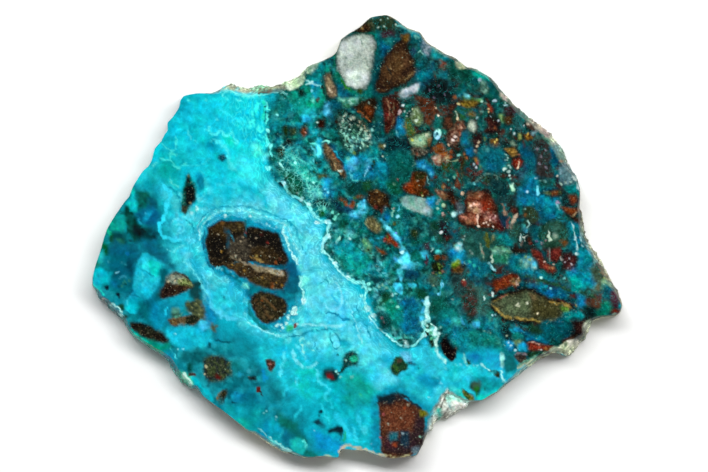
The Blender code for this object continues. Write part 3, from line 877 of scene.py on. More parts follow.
# The top: crust along the edge, the quartz lump and the brown fragments round it.
TOP = """
pool 0a7262/0a8876/.4/5 5 290,88 318,70 330,80 322,108 296,112
pool 0a8c84/0a9a94/.4/5 5 304,72 322,60 332,64 330,78 312,82
pool 2090a8/30a8c0/.4/4 3 302,110 314,110 314,120 304,120
pool 1090a8 3 311,84 320,84 321,94 312,96
bead 80d0e8 1.6 311,91
vein a0e8e0 1.2 303,80 309,82 316,84 321,87
vein b0f0e8 1.1 305,84 311,83 318,86
vein a0e8e0 1.2 276,90 282,92 288,95
vein 0a4a40 1.6 278,94 286,97 292,98
stone 062820 1.4 298,89 303,90 304,95 300,96
bead 0a4038 1.5 324,64
pool 086060 3.5 277,100 290,100 292,112 278,110
vein 20a8a8 2.4 295,104 291,111
vein 60c0b0 1.3 314,95 313,99 314,103
bead 3a2c28 2 318,99
pool 40a8d8/60c0e4/.4/3 2.4 324,101 329,105 330,112 327,115 324,110
bead 70c8e8 1.4 327,106 328,112
vein 30a8b0 1.6 312,113 314,120
stone b09a78/8a7458/.5/2.2 1.4 324,76 328,74 331,73 332,80 335,85 337,92 337,96 333,98 329,97 326,92 325,86
vein 0c3430 2.4 322,74 322,86 325,96 331,100
vein 0c3430 2.6 330,68 334,78 338,88
vein d0c0a0 1.4 328,88 331,94
pool 3a9060/90c8b0/.5/3 2 338,98 348,97 360,99 358,105 344,106
bead 90c8b0 1.8 344,101 351,103 357,100
pool 005868 4 334,100 344,108 352,120 338,124 330,112
pool 008070 5 336,34 350,30 376,32 380,60 374,86 360,96 344,92 336,76
pool 0a6080 4 338,84 346,88 350,96 340,98
stone bccabf/d4e2d8/.5/6 1.6 341,40 345,37 350,36 357,34 366,34 371,36 376,41 375,47 374,55 374,62 373,68 371,72 370,78 368,84 366,88 360,90 354,88 348,85 344,80 340,76 338,70 337,62 337,52 339,45
pool e0eee6/d0e4d8/.4/5 4 345,73 356,70 367,74 366,84 358,88 350,84
pool a8b4aa/c4cec4/.5/2.2 3 361,50 371,48 371,72 365,70
pool c8d4cc 3 342,44 356,40 364,44 356,54 344,54
vein 88a090 1.2 358,36 362,46
bead 90a89c 1.1 346,58 352,64 366,58 368,66 364,62
vein 2a8a20 2.4 341,79 346,85 351,90
bead 4a5c18 3 360,91
vein 0a7a60 2.4 337,44 335,56 336,70 341,79
stone 5a3a1c/2c2014/.45/2.4 1.2 354,31 360,26 366,21 372,20 374,25 371,31 365,32 358,32
bead 9a7440 1.3 362,28 369,24
pool 263a28/464a30/.4/2.2 3 366,20 378,16 394,16 400,26 390,34 376,32
bead b8d0c0 1 372,18 380,20 388,18 384,26 396,24 378,27
bead c8b088 1.3 392,16
pool 4a2838 2 383,31 393,31 393,36 383,36
vein 70c0b8 2.4 396,25 402,26 407,29 413,33 418,39 421,42
pool 006888 4 378,40 389,42 388,56 379,56
pool 0a5058 4 374,58 382,62 378,80 372,92
pool 007890 4 392,46 398,42 398,50 392,52
stone 5a3a20/38221a/.45/3 1.2 384,59 388,53 392,49 395,44 400,40 404,36 409,36 409,42 407,48 409,52 412,57 415,61 414,66 418,69 421,70 417,75 411,80 404,84 397,87 391,89 388,92 383,94 378,92 375,88 376,82 378,77 380,70 382,64
pool 806020 2 403,35 409,35 408,40 404,41
pool 543820/6a4628/.45/3 3 388,60 402,50 408,62 398,76 386,80
vein 6a4a28 1.4 392,52 398,60 396,72
vein 2c1c14 1.6 386,66 392,76 388,86
vein 907048 1.2 408,76 416,71
vein 907048 1.2 404,80 413,74
bead b09060 1 390,68 402,66 400,78 384,86 410,62
pool 304060 2 410,47 415,48 415,53 410,53
vein 90d0c0 1.4 418,51 424,54
pool 007890 4 416,72 432,70 431,88 418,88
pool b8c8d0/ccd4d8/.5/4 1.8 399,95 402,90 408,86 415,83 420,83 420,88 415,93 408,98 402,99
pool 607080/b0b0c0/.5/2 2.4 422,40 434,42 435,52 424,52
pool 189098 2.5 434,48 442,49 442,57 434,56
pool 8a4830/5a3020/.4/2 2 440,60 447,61 447,70 441,70
vein 6a4830 1.5 434,70 436,86
vein 6a4830 1.5 439,72 438,86
pool 007890 2.5 440,71 445,72 445,79 440,79
pool 1c2426/0e1416/.5/3 4 425,84 440,80 452,86 450,102 436,106 424,98
bead 8a7c98 0.9 430,90 438,86 444,94 434,98 447,90
pool 0a5a48/084438/.5/5 5 448,60 468,58 474,78 456,84
vein 70a898 1.3 430,46 440,54 452,58
"""

# The breccia: angular fragments of brown, rust, red and pale rock in dark green and blue.
BRECCIA = """
stone 301008 1.6 318,119 324,119 325,127 321,131 317,126
bead c8e0d8 1.2 317,122
stone 7a3a18/3a2010/.4/2 1.4 302,127 307,127 308,134 304,138 301,133
bead d89080 1 305,132
stone 1a3410 1.8 283,125 288,126 289,134 285,138 282,131
stone 3a4a28 2 290,128 296,128 297,134 291,135
stone 080c10 1.4 287,139 292,140 292,147 286,149 284,146
stone 40401c/20301c/.4/2 1.6 278,149 285,149 286,155 280,156
bead a8c8b8 1 281,146 283,148
stone 083c44 1.5 306,150 311,149 311,155 307,156
stone 083840 1.3 295,154 299,154 298,158 295,158
stone 063028 1.5 314,160 318,161 318,166 314,165
pool 127478/2a8e88/.5/3 3 284,150 298,147 310,158 320,176 326,194 316,200 306,188 296,172 286,162
pool 065e68 1.4 299,155 305,155 308,160 303,163 299,159
pool 08887c 1.4 303,165 309,165 309,170 303,171
pool 045c5c 1.4 293,172 299,173 302,178 298,182 294,178
pool 0a7074 1.2 311,182 316,182 317,188 312,189
pool 1c9c94 1.2 306,177 311,177 311,182 307,182
bead 063c34 1.2 292,152 305,175 312,166 318,170 310,188
vein b0fff4 1.6 279,163 281,166 283,168
vein 60c8c0 1.2 280,162 284,158 290,155
vein 50b8ac 1.3 288,154 293,157 296,163 298,169 301,174 304,179
vein 4cb0a4 1.1 290,158 296,156 300,159 304,163 309,164 312,160
vein 48a8a0 1 296,150 300,154 300,158
vein 58c0b0 1.6 303,172 306,178 307,184 309,190 313,195 318,198
vein 4cb0a4 1 304,170 309,172 313,178 317,181 321,179
vein 50b4a8 1 310,184 316,190 321,188
vein 44a89c 1 311,170 314,168 317,170 318,175 314,177 311,174
pool 3c9c90/68c8b4/.4/2 1.6 308,190 316,188 323,192 322,199 313,198
bead 98f0e0 1.2 296,163 308,178 309,188 319,193 314,182
vein 58b8c8 1.3 310,146 314,150 315,156 313,163
bead 0c3c20 1.8 314,173
stone 5a5a20 1.6 317,175 326,174 328,177 320,179
pool 0a5a40/084830/.5/4 4 287,176 298,176 304,190 300,198 290,192
bead 182008 2.4 287,177
bead 90a8a0 1.2 298,193
pool 2080a8/1c98b8/.5/3 3 322,182 330,183 331,196 324,196
bead 80d8f0 1.3 325,189 328,192
bead 0a3038 1.8 321,186
pool 1888a0 3 318,140 330,150 324,158 316,150
pool 60c8f0 2 316,148 321,148 321,154 317,155
vein 70d8d0 1 310,142 318,146 322,152
stone 081418 1.6 314,204 318,201 323,200 327,203 326,207 322,204
bead 80dcc0 1.8 320,210 324,209
pool 0a5a28 2 319,211 325,211 325,217 320,217
stone 5a4a30/84684a/.5/2.2 1.5 322,145 327,143 331,146 335,153 340,160 345,168 348,176 344,178 338,172 333,170 328,162 324,154
vein b09468 1.4 334,163 339,170 343,174
vein 8a4a20 1.3 332,152 339,162
vein 2c2418 1.4 325,150 330,160 336,168
vein 90e8d8 1.5 322,143 326,141 330,143
vein c8e0d0 1.6 338,171 342,170
pool 054860 2.4 331,144 338,150 346,162 350,170 344,166 336,154
vein 1ca8c8 1.2 334,150 342,160 350,171
pool 0a7c94/0c8ca4/.5/5 3 346,160 360,156 376,158 388,166 388,184 376,178 362,182 350,178
pool 60b8dc/3c98c0/.4/3 1.8 346,160 358,158 361,164 355,170 350,168
pool 2c98bc/58b8d8/.4/3 1.6 366,161 371,160 370,168 365,174 364,168
bead 0a3c3c 2 373,166
vein 48a8d0 1 346,158 350,166 351,173
vein 90d8f0 1.4 369,166 364,177
vein 60d0e0 1.2 350,170 352,180
bead 103c28 2.6 375,163
vein 38c0c0 1.2 371,160 376,158 380,162
vein 58e0d8 1.2 352,181 362,180
pool 207888 3 376,112 382,112 382,122 376,122
pool 102c24/284838/.5/2.6 3 338,110 352,112 366,124 370,146 356,154 340,144 334,126
pool 98b898/5c7868/.5/2 1.6 340,118 346,116 349,122 346,128 341,126
pool c0ccb0/6c8478/.5/1.2 1.8 341,132 348,130 347,138 341,137
pool b8c89c/5c7868/.5/1.2 1.8 352,132 358,131 359,139 353,139
pool c8d4c0/7c9890/.5/1.2 2 362,130 368,129 371,137 368,146 362,142
bead c8e0d0 1.5 361,129 366,136 343,120 344,134
vein 90a8b0 1.4 350,139 358,144
pool 8098a0/384048/.5/1.8 2 350,138 360,138 362,150 352,150
bead 70a898 2 351,151 349,158
bead 888040 1.8 354,153
flecks d8dcc8/.35/.75 2.2 340,114 350,114 366,126 371,146 352,152 342,138
flecks 0c2424/.55/.9 2 338,112 352,112 366,124 371,146 356,153 340,142
bead 2c1c18 1.4 337,122 359,150 350,127 347,141
bead 70d0d8 1 374,126 382,125 383,114
bead 90e8e8 1.4 372,130
stone b0a868/706030/.4/2 1.2 378,145 381,144 386,144 385,149 380,149
bead d8e0c8 1 385,146 383,156
stone 4a3018/2c2014/.45/2.6 1.1 352,107 358,104 363,101 370,98 376,98 377,103 375,110 374,117 370,122 366,119 361,113 356,110
pool 7a4018 2 366,106 372,108 372,116 367,114
vein a06028 1.6 356,109 362,114 370,122
bead 9ab0a0 1 369,103 375,107
stone 5a2018/6e3426/.4/2.2 1.2 382,98 389,96 394,98 399,102 400,108 398,114 396,121 393,128 389,134 386,134 384,128 384,118 383,108
pool 8a3028 1.6 385,113 390,113 390,118 386,119
vein a87858 1.2 386,98 390,108 388,120
vein 8a6a48 1.2 393,104 394,116 392,124
bead 20140c 1.6 391,110 386,124 395,108
bead e0f0f0 1.6 403,105
bead d0b0b0 1.5 400,111 400,114
bead b8c8c0 0.9 405,111 408,113 410,111 407,116 411,114
pool 0c7098/1080a8/.4/3 1.8 398,117 402,117 405,122 406,130 402,136 397,138 395,130
bead 38b0d8 1.6 401,127
vein 80c8d0 1.2 396,131 398,138
bead 70c8c0 1.3 392,138
pool 0a1c24/143038/.5/3 3 386,138 400,138 412,146 406,152 392,150
pool 5a6a30/8a7a38/.4/2.4 2 405,120 412,120 414,138 406,136
stone 88a868/b0d0a0/.5/2.2 1.6 413,108 418,106 421,110 423,118 422,125 418,127 413,123 410,117
bead d0e8d0 1.6 417,121
bead d8d8b0 1.2 413,109
pool 8a4020/a85428/.4/2 1.8 424,102 430,101 433,105 430,111 425,109
pool 7a3c20/4a2c1c/.5/2.4 2.4 418,98 434,99 436,114 428,126 422,112
stone a8d8a8/c8e8b8/.5/2.4 1.3 408,139 414,136 421,134 430,132 431,138 427,146 423,150 415,149 410,144
bead e8e868 2 412,140
bead 90e0c0 2.2 420,140
bead e0e8c0 1.5 426,135 416,144
stone b08050 1.2 427,138 431,138 430,146 427,146
bead 8a6a40 1.3 424,146 420,148
stone c0b098/8a6858/.5/2 1.2 410,148 416,147 423,149 429,150 424,155 418,157 413,154
bead 1c1c14 1.3 420,152 424,152 415,150
bead a85038 1.6 417,154
pool a0e0f0 1.2 435,129 439,129 441,133 440,138 436,139 433,135
bead 0c6080 1.5 437,134
vein 50b0b0 2 436,117 437,122
pool 0c5c60 3 433,116 440,116 441,127 434,128
bead f0e8e0 1.2 438,115
bead d8c8a8 1.2 436,108
stone 4a2a20/6a4030/.4/2 1.6 445,116 452,116 454,128 448,131 444,124
stone 6a3a30/a88878/.4/1.8 1.4 458,119 463,121 466,127 462,132 460,138 458,145 455,148 450,145 446,140 447,134 452,129 455,123
bead e8d8d0 1.4 455,137 453,140
bead 3a1c18 1.6 450,135 458,124
vein a86040 1.6 461,131 458,141
bead d8c0a8 1.2 449,145 458,118
pool 8a4a18/a86020/.5/2.4 2 434,148 442,146 450,152 447,157 438,155
pool 9a5a40/c8b8a0/.5/1.8 1.8 434,156 448,156 449,162 438,165 434,161
bead d8d0b8 1.4 441,159 446,158 443,161
vein b05828 2.4 451,149 451,159
vein b0c8b8 1.6 447,160 453,162 458,160
bead 88d8f0 1.8 459,155
pool 305838/605020/.5/2.4 2 442,164 450,164 450,171 443,171
stone 5a3020 1.4 448,104 454,104 454,110 448,109
bead b06838 1.8 455,97
vein 98a8a0 1.3 456,112 458,118
pool 80b850/a8c860/.4/2.4 1.6 461,97 470,98 480,99 480,102 468,101
pool 88d8d8 1.8 464,93 470,95 471,99 466,98
stone b09030/7a5820/.4/2.4 1.3 457,103 463,99 470,100 476,101 480,102 476,107 470,109 462,107
bead d8c890 1.6 459,104
pool 2a5a38/0c6078/.4/2.4 2 459,108 472,109 478,117 462,117
pool 8a7030 1.8 467,113 474,111 476,116 468,117
stone c8d8c8/e0ecd8/.4/3 1.6 468,123 472,119 476,121 477,128 474,133 469,131
bead a0c8c8 1.2 477,118
pool 107898 2.4 461,133 467,133 468,144 462,145
pool 1080b0 2 466,149 472,149 472,155 467,155
bead b0b0a0 1.8 476,145 475,151
stone 3a1c20/604038/.4/2 1.6 474,135 481,133 482,143 477,148 473,144
bead d0b898 1.3 479,142 477,146
bead 7a8850 1.8 485,139
stone 30141a/5a2c24/.35/2.4 1.8 486,119 492,117 498,121 499,131 492,135 486,131
bead a05830 1.5 495,128
bead c0c8d0 0.9 498,121 491,116 482,122
pool 0c5a5c/308078/.4/2.4 3 478,118 486,120 484,130 478,128
pool 90c8c0 1.6 484,148 488,147 489,151 485,152
stone 8a5018/c08838/.45/2 1.2 490,138 499,139 498,146 494,149 490,146
bead e8d070 1.4 495,142 497,140
bead 3a1c10 1.2 493,143
stone d08028 1.2 473,158 477,157 481,160 480,164 475,163
bead c83010 1.5 478,163
bead d8e8f0 1.4 476,167 473,164
pool a0b070 1.3 480,157 483,164 480,168
vein 7a2c20 2.4 469,168 474,175 479,173 484,169
pool 0a6878/0c7c8c/.5/5 4 480,150 500,148 503,170 484,168
vein 7a4028 3.4 457,171 458,180 459,188
vein 5a4028 2.4 464,154 462,164 461,176
bead c07040 1.6 465,154 466,158
vein 3a4a30 2 466,150 464,164 462,180
vein 7c9c90 1.1 473,184 478,180 483,176 488,173 493,174 497,177 494,182 489,185 484,184
pool 4a5030/282c20/.4/2 1.6 483,176 491,176 493,181 486,183
bead 78d0d0 1.2 474,184
bead d8b898 2.2 462,193
bead c8a078 1.6 443,187
vein b07840 2 443,184 443,190
pool 8a5040/b88060/.4/2 1.6 436,190 444,192 450,196 446,199 438,195
stone 4a2418/803818/.5/2.4 1.6 446,192 452,193 458,200 463,208 460,214 454,208 449,200
pool 607078 2 456,204 463,205 463,213 457,213
bead 90c8b8 1.3 454,178 455,187 448,180
stone 9a4416/5c2e14/.4/3 1.2 411,172 418,171 425,173 428,177 426,183 424,188 429,190 429,196 423,199 416,195 408,194 402,189 403,184 408,180 411,176
pool 3a3a18 2 414,172 424,173 424,180 416,180
pool b0541c/8a3a12/.4/2.4 2 406,184 420,182 420,192 409,191
bead f0e8a0 1.3 423,196
bead d8c8b8 1.1 417,181
bead 5a7020 1.6 422,193
vein a0c8c8 1.4 427,177 429,186
pool 1880b0/2890c0/.4/3 2 416,164 423,162 430,167 434,174 432,178 427,171 420,170
bead 60c8f0 1.6 424,167 431,173
vein 90a890 1.4 412,168 416,162
pool 0a6460/0a7470/.5/5 4 386,152 408,154 414,164 408,178 396,184 388,172
pool 0a6850 2.5 386,182 396,184 402,192 392,194
bead 80c0b0 1.3 394,184
bead b08890 1.3 397,180
pool a8c4b8/b4b8b4/.5/4 1.3 400,199 405,196 413,196 421,198 428,200 430,206 433,212 432,217 425,215 417,212 409,209 404,206 401,203
pool 20a0cc/40b8e0/.4/3 2.4 425,199 434,196 438,204 430,208
pool 0a8080/109090/.5/4 4 434,198 440,206 438,222 430,218
"""

# The breccia's lower and right parts, down to the big olive fragment. The short near-white streak at 561,255 is a
# painted highlight, drawn as a vein.
BRECCIA_RIGHT = """
pool 102038/0c3040/.5/3 2.6 330,196 338,200 344,210 338,212 332,204
stone 5a2018 1.4 338,197 342,196 342,201 338,201
pool 9a4416/7a3814/.4/2.4 1.6 342,200 346,200 348,204 353,201 355,204 350,208 344,206
pool 10405c 2.4 344,206 352,208 350,214 344,212
pool 8a4a20/6a5020/.4/2.4 1.6 355,195 361,194 367,195 366,198 358,199
bead 4a6a28 1.6 355,198
bead f0fffc 1.3 358,206
bead 10201c 1.5 357,203 361,200
pool 3098b8/68c8e4/.5/2.4 2 350,213 356,209 360,203 366,200 368,207 364,214 358,218 351,217
vein 80d0ec 1.2 351,215 357,214 362,210 366,203
vein 58c0e0 1.2 352,211 358,212 366,212
pool 0a4040/063830/.5/3 3.5 346,182 360,180 370,182 366,194 350,194
pool 1a4a28 2.4 364,181 372,182 372,190 364,190
stone 5a3214/2c1c14/.5/2.4 1.6 368,191 376,188 384,192 390,197 390,208 382,212 374,210 368,202
bead 6a2018 1.8 376,207 382,211
bead a07040 1.1 376,191 383,196 379,200
stone 8a7848/a89468/.45/2.4 1.8 366,221 369,217 373,216 377,220 380,225 381,230 377,233 372,231 368,227
bead 5c5030 1.4 374,226 372,221
vein b0a070 1.1 369,218 367,223 371,230
bead 80d8c0 1.5 332,213 335,216 338,214 334,219
pool 0a4838 2.4 339,221 346,221 346,228 340,228
vein b8ecd8 1.6 340,236 337,243
bead c8f4f0 1.1 350,238
pool 508868/90b078/.5/2 2 363,240 368,242 371,250 366,252 362,246
bead 0a2420 1.4 371,253 368,250
stone 082c34 1.4 357,251 362,252 362,256 359,254
vein 50c0ac 1.5 334,251 340,249 346,253 347,259 342,263 336,260
bead 50b8a8 1.6 342,253 338,256
pool 075040 3.4 341,259 350,260 350,268 342,268
vein 30a0c0 1.6 370,240 378,238 386,236
bead 5ab8a8 1.2 356,236 353,246 360,262 366,268 351,256 346,236
pool 40b0c8 1.8 364,262 370,262 370,270 365,270
vein 40b8a8 1.4 354,272 362,272 368,277
vein 40b8a8 1.2 356,266 364,268
pool 0c9494/18a4a0/.5/4 4 332,246 356,244 372,262 362,276 346,268
bead 707868 1.8 377,266
bead 1c5050 1.3 377,266
pool 0a3840 2 372,278 382,277 382,281 374,282
bead 90c0a8 1.4 379,286 383,285 387,288
bead 60b0c0 1.4 386,283 384,290
bead c8f8f4 1.6 392,295
bead a0e8e8 1.2 396,294
pool 0a3c28/1c5038/.5/3 3 383,290 392,293 388,304 380,304
vein a0d0b8 1.3 392,209 394,211 392,215 394,216
vein b89890 1.3 395,208 393,210
vein 60c0e0 1.6 398,204 399,211
bead a0e4f4 1.8 398,216
bead 6a6020 1.6 395,224
pool 0878a0 2.6 386,208 390,214 388,224 384,216
stone 284020/3a5028/.4/2 1.8 410,230 416,228 419,233 416,239 411,237
pool 48a8c8/70ccec/.4/4 1.2 380,218 383,220 388,226 392,230 396,235 400,239 403,246 408,252 409,260 413,263 418,263 416,268 410,271 405,270 402,276 402,281 399,278 397,270 401,266 396,262 393,257 399,258 401,252 398,245 395,240 390,233 386,230 382,223
bead 90e8ff 2.6 387,228 401,262 405,266
bead d0ffff 1.8 402,252
pool 70dcf8 2 402,254 409,256 408,264 403,262
bead 8898e8 1.4 396,233
stone 9a3a18/a85020/.4/2 1.3 383,241 386,235 388,232 391,234 394,240 398,244 400,248 395,247 391,243 387,244
bead 4a5a20 1.6 387,237
bead b02c18 1.5 391,238 385,240 396,245
stone 984818/b06820/.4/2 1.3 375,247 379,249 384,250 387,253 384,255 378,252
pool 58c8f4 1.4 394,284 401,283 402,293 398,291 395,288
pool 48b4dc 1.4 409,284 415,283 415,286 410,287
pool 0a4860/083c54/.5/3 2.6 404,272 414,270 418,276 412,282 406,278
bead 3a4018 1.3 414,277
pool 50b8d8 1.6 421,253 426,252 427,257 422,258
vein 502838 3 427,254 427,263
pool 402838 2.4 424,243 430,243 430,250 425,250
pool 103038 1.8 429,249 435,249 434,254 430,255
vein a0b8b0 1.2 430,252 434,247
pool 70e0e0 1.2 436,251 441,251 441,254 437,254
stone b05018 1.3 434,256 439,255 441,258 438,261 434,260
stone 905038 1.4 442,255 447,256 446,260 442,260
stone 2a3010/141c0c/.4/2 1.8 430,268 433,262 440,261 445,266 442,273 433,273
bead 80a040 1.1 438,264 439,268 440,273 436,274 442,266
bead 8a6050 1.1 433,273 443,271
pool 506050/405048/.5/3 3 428,274 438,275 438,284 430,284
bead a0a080 1.5 433,285
bead 88dcff 2 442,285
bead 80d8f8 1.8 439,294
vein 40a8c8 1.6 442,280 441,290 439,296
pool 1090c0/20a0c8/.4/4 3 449,250 458,244 467,250 468,262 454,262
pool 80c8c8/b8e0dc/.5/1.8 1.8 455,245 463,243 463,251 456,251
vein 98d0c8 1.3 464,262 470,268
pool 90a028 1.8 452,262 459,261 460,267 453,268
stone 8a5a20/5a4020/.4/2.4 1.6 452,268 460,265 465,269 461,274 453,273
bead 141410 1.8 452,275 456,275
pool 1c2c2c/344444/.5/2.4 3 452,276 466,276 468,292 454,292
pool 803028 1.4 462,281 467,282 466,287 462,286
bead c8c0a0 1.2 464,280
bead 0c5030 1.8 470,272
bead c0e0d8 1.4 465,236 463,239 466,243 467,246
pool 14402c/30504c/.5/2.4 4 428,222 446,222 448,240 434,240
pool 241c24 2.4 440,222 446,224 449,236 442,238
bead d8e0e0 1.8 441,233
stone 6a2828 1.4 445,236 449,236 448,240 445,240
bead 38a0a0 2 433,240
pool 50a8a8 1.6 446,243 450,245 449,249 446,248
bead 40b0b0 1.6 448,224 445,227
pool b0e0e0 1.6 451,211 456,211 457,216 452,217
bead 90b8c8 1.4 461,213
bead a8dcc8 2 438,209
bead b8d8b0 2.2 443,205
bead 90a8a0 1.4 437,203 441,200 439,201
bead c8a8a0 1.4 443,213 444,215
pool 245048/34645c/.5/4 5 466,230 498,232 500,262 470,262
vein 90a890 2.4 480,243 481,250 483,259
vein b89888 1.6 482,251 484,256
vein 6a6a28 3 486,231 487,238 489,247
vein a09868 1.6 493,234 493,244
bead 90a8a0 1.2 470,250 472,253
pool 0a8890/0c9c98/.5/4 4 496,233 508,232 514,244 502,247
pool 30906a/409878/.5/3 2 493,252 508,253 508,263 494,263
pool 8cc0a0/b0d4b4/.4/3 1.6 492,249 500,247 509,249 509,253 493,254
vein d0e8d0 2 492,254 492,263
vein a8ecf4 2.2 489,262 490,267 495,271
vein 80c8a8 1.3 506,254 507,263
vein 90b8a8 1.3 509,247 512,253
bead d8f0f0 1.6 516,255
pool 0a7890/1090a0/.5/4 3.5 510,256 526,254 528,272 512,272
pool 60a0a8/a0c8b8/.4/2 2.4 519,258 536,256 537,268 524,268
bead a0c070 1.4 530,260 526,257
pool 60c0d8 1.8 532,260 537,260 537,266 533,267
stone 2a1c14/4a2c1c/.4/2 1.8 514,249 526,247 528,252 516,253
bead c0a090 1.2 522,245 523,242
pool 0a6c80 3 466,258 490,266 480,276 468,270
bead 30b8a0 1.6 474,265 479,268 470,262
vein 8a8068 1.3 515,236 521,233
stone 7c3820/60281a/.4/3 1.3 464,200 468,194 475,191 483,191 490,194 493,199 496,206 498,212 500,218 503,224 505,229 502,231 497,230 489,228 480,228 476,226 468,225 460,222 458,218 464,214 466,208 464,203
pool a07454/885038/.5/2 2 467,196 475,192 482,193 480,198 470,199
pool c8ac90/a07058/.5/1.8 1.8 468,204 476,202 482,206 480,214 470,213
pool 8a341c 2.4 483,201 490,203 489,210 483,209
pool b88060/8a4830/.5/1.8 2 460,216 474,215 480,222 470,224
pool a88474/74382c/.5/1.7 1.8 484,213 496,214 498,222 486,223
vein e0d0b8 2.2 477,216 478,226
bead f0e8d8 1.6 493,227 478,226
bead e8d8c8 1 471,206 474,204 486,222 490,220 495,216 488,225 484,223
pool 5a1818 2 498,220 503,225 503,231 498,228
vein 3a1c14 1.8 460,223 470,227 480,230 492,231 503,234
vein 3a2018 1.6 464,196 470,190 480,188 490,192
vein b0a898 1.4 500,197 500,201 498,203
vein 80a8a0 1.3 497,200 499,204
pool 10383c/284848/.5/3 3 492,180 504,182 510,196 502,206 494,196
vein a08068 2.6 503,203 505,209 505,216
pool 1c3850 2.4 501,216 508,216 507,226 502,224
stone 6a2820/8a3424/.4/2.4 1.6 510,206 516,207 517,213 512,214
vein c8b098 2.4 517,214 514,220 512,226 511,231
vein a05858 2 511,217 508,223 508,228
pool 2c4c44/4a6a58/.5/2.4 3 510,226 518,224 520,238 511,238
pool 2a3430 3 508,194 516,196 517,206 510,206
bead c8e8e0 1.3 506,169 509,172 510,176 504,170
bead a8d0c0 0.9 509,166 508,172 511,179 513,184 507,160 505,154
pool c0ecdc 1.3 510,184 514,185 515,190 512,191
vein 98e8f0 2.6 518,189 520,191 521,198
pool 304858/486878/.5/3 3 517,170 527,170 528,180 518,180
pool 0c2c30 2.6 519,182 527,182 527,188 520,188
bead 101c18 1.8 518,177
pool 0a7e98/0c8ca8/.5/6 4.5 528,176 540,172 552,184 562,200 566,214 556,222 540,216 524,206 519,196 524,186
pool 0c6c88 4 536,206 550,208 552,220 538,220
pool 107ca0 3 519,190 527,192 527,204 520,204
pool 0c90a4 3 544,200 552,200 558,212 548,212
vein 80e8ff 2.2 538,186 537,190 538,195
bead b0d8e8 1.6 528,192 536,178
vein 80c8d0 1.6 556,200 558,207
vein 90c8c8 1.3 560,203 560,208
pool 1c5048 3 540,178 548,180 548,186 541,186
vein 78b0a8 1.3 540,180 545,182
stone 90a868/608060/.4/2 1.2 542,192 550,191 560,191 564,193 560,196 550,196
stone b06030 1.2 551,191 558,191 558,196 552,196
bead 80b0b0 1.4 561,198
pool 3a3c28/4c4a30/.5/3 2.4 524,210 532,207 538,213 536,222 526,222
bead 7a4a20 1.8 525,215
bead a0d0c8 1.3 525,209
pool 182c2c/283c38/.5/2.4 3.5 520,222 536,224 538,244 522,246
vein a0c8c0 1.3 527,221 529,226 526,229
pool 50a8b0 1.8 522,225 527,226 527,231 523,230
vein c8e0d8 1.1 520,233 521,241
vein d8e0d0 1.1 523,236 525,237 528,235
vein d8e0d0 1.4 525,237 526,241
stone 4a2818 1.4 528,236 533,237 532,243 528,242
bead 9a3828 1.5 530,243
pool 0a5864/0c6c70/.5/3 3 532,228 541,232 540,246 533,242
bead 8878a0 1.2 536,241
pool 2c4a38/3c5c48/.5/3.4 2.4 541,234 545,224 554,220 563,222 568,232 567,246 558,251 547,249
pool 4c6c5c 2.4 550,225 560,225 560,231 550,231
vein d8ecd8 1.2 549,230 549,241
bead c8e0c8 2 548,236 550,239
pool a0a898 1.6 553,234 557,234 557,238 554,238
pool a05828/6a4420/.4/2 1.8 559,239 566,240 565,246 560,245
vein 4c7058 1.2 543,236 545,246
bead c898a0 1.2 542,243 545,240
vein 14402c 2 540,240 542,228 552,219 564,220
stone 903428/b04c38/.35/2.4 1.4 531,249 536,249 541,253 543,260 548,264 555,267 557,271 552,273 546,271 540,267 537,260 533,255
bead d08858 1.3 550,268 553,269
bead e0c0b0 1.1 554,264 545,262
stone 5a2420/8a3028/.4/2 1.6 546,250 560,248 562,256 556,262 548,260
pool 8a3028 1.8 553,250 560,249 560,256 554,257
vein 8c9088 1.2 550,248 550,262
vein f0e8e0 1.5 561,255 562,260
stone 4a2428/6a3030/.4/2 2.4 562,252 576,252 577,270 570,274 562,266
bead b0a8b0 1 565,262 572,264 570,258 568,268
stone 8a2c18/a04820/.4/2.4 1.3 494,279 500,278 506,275 512,273 518,275 520,280 518,286 512,286 506,288 500,289 496,293 494,290 493,284
pool b09060/90583c/.4/2 1.6 512,279 518,278 518,285 512,284
vein d0b0a0 1.3 519,276 517,281 518,286
vein 3a1a10 1.4 493,278 492,286 495,294
vein 2a5a40 3.2 524,278 533,277 541,281 550,282 558,285 566,289 576,293
pool 087c98/0c88a0/.4/4 2.6 530,268 538,272 546,276 556,281 548,280 536,277 530,276
bead b0ece8 1.6 541,278
bead 80d0d0 1.2 564,278
pool 087498/0a6894/.5/5 2.6 520,284 530,283 541,284 551,287 560,290 569,295 562,299 550,299 543,296 536,291 527,288
bead 80e0e8 1.3 551,288
vein 0aa0b8 1.6 538,288 548,286
"""
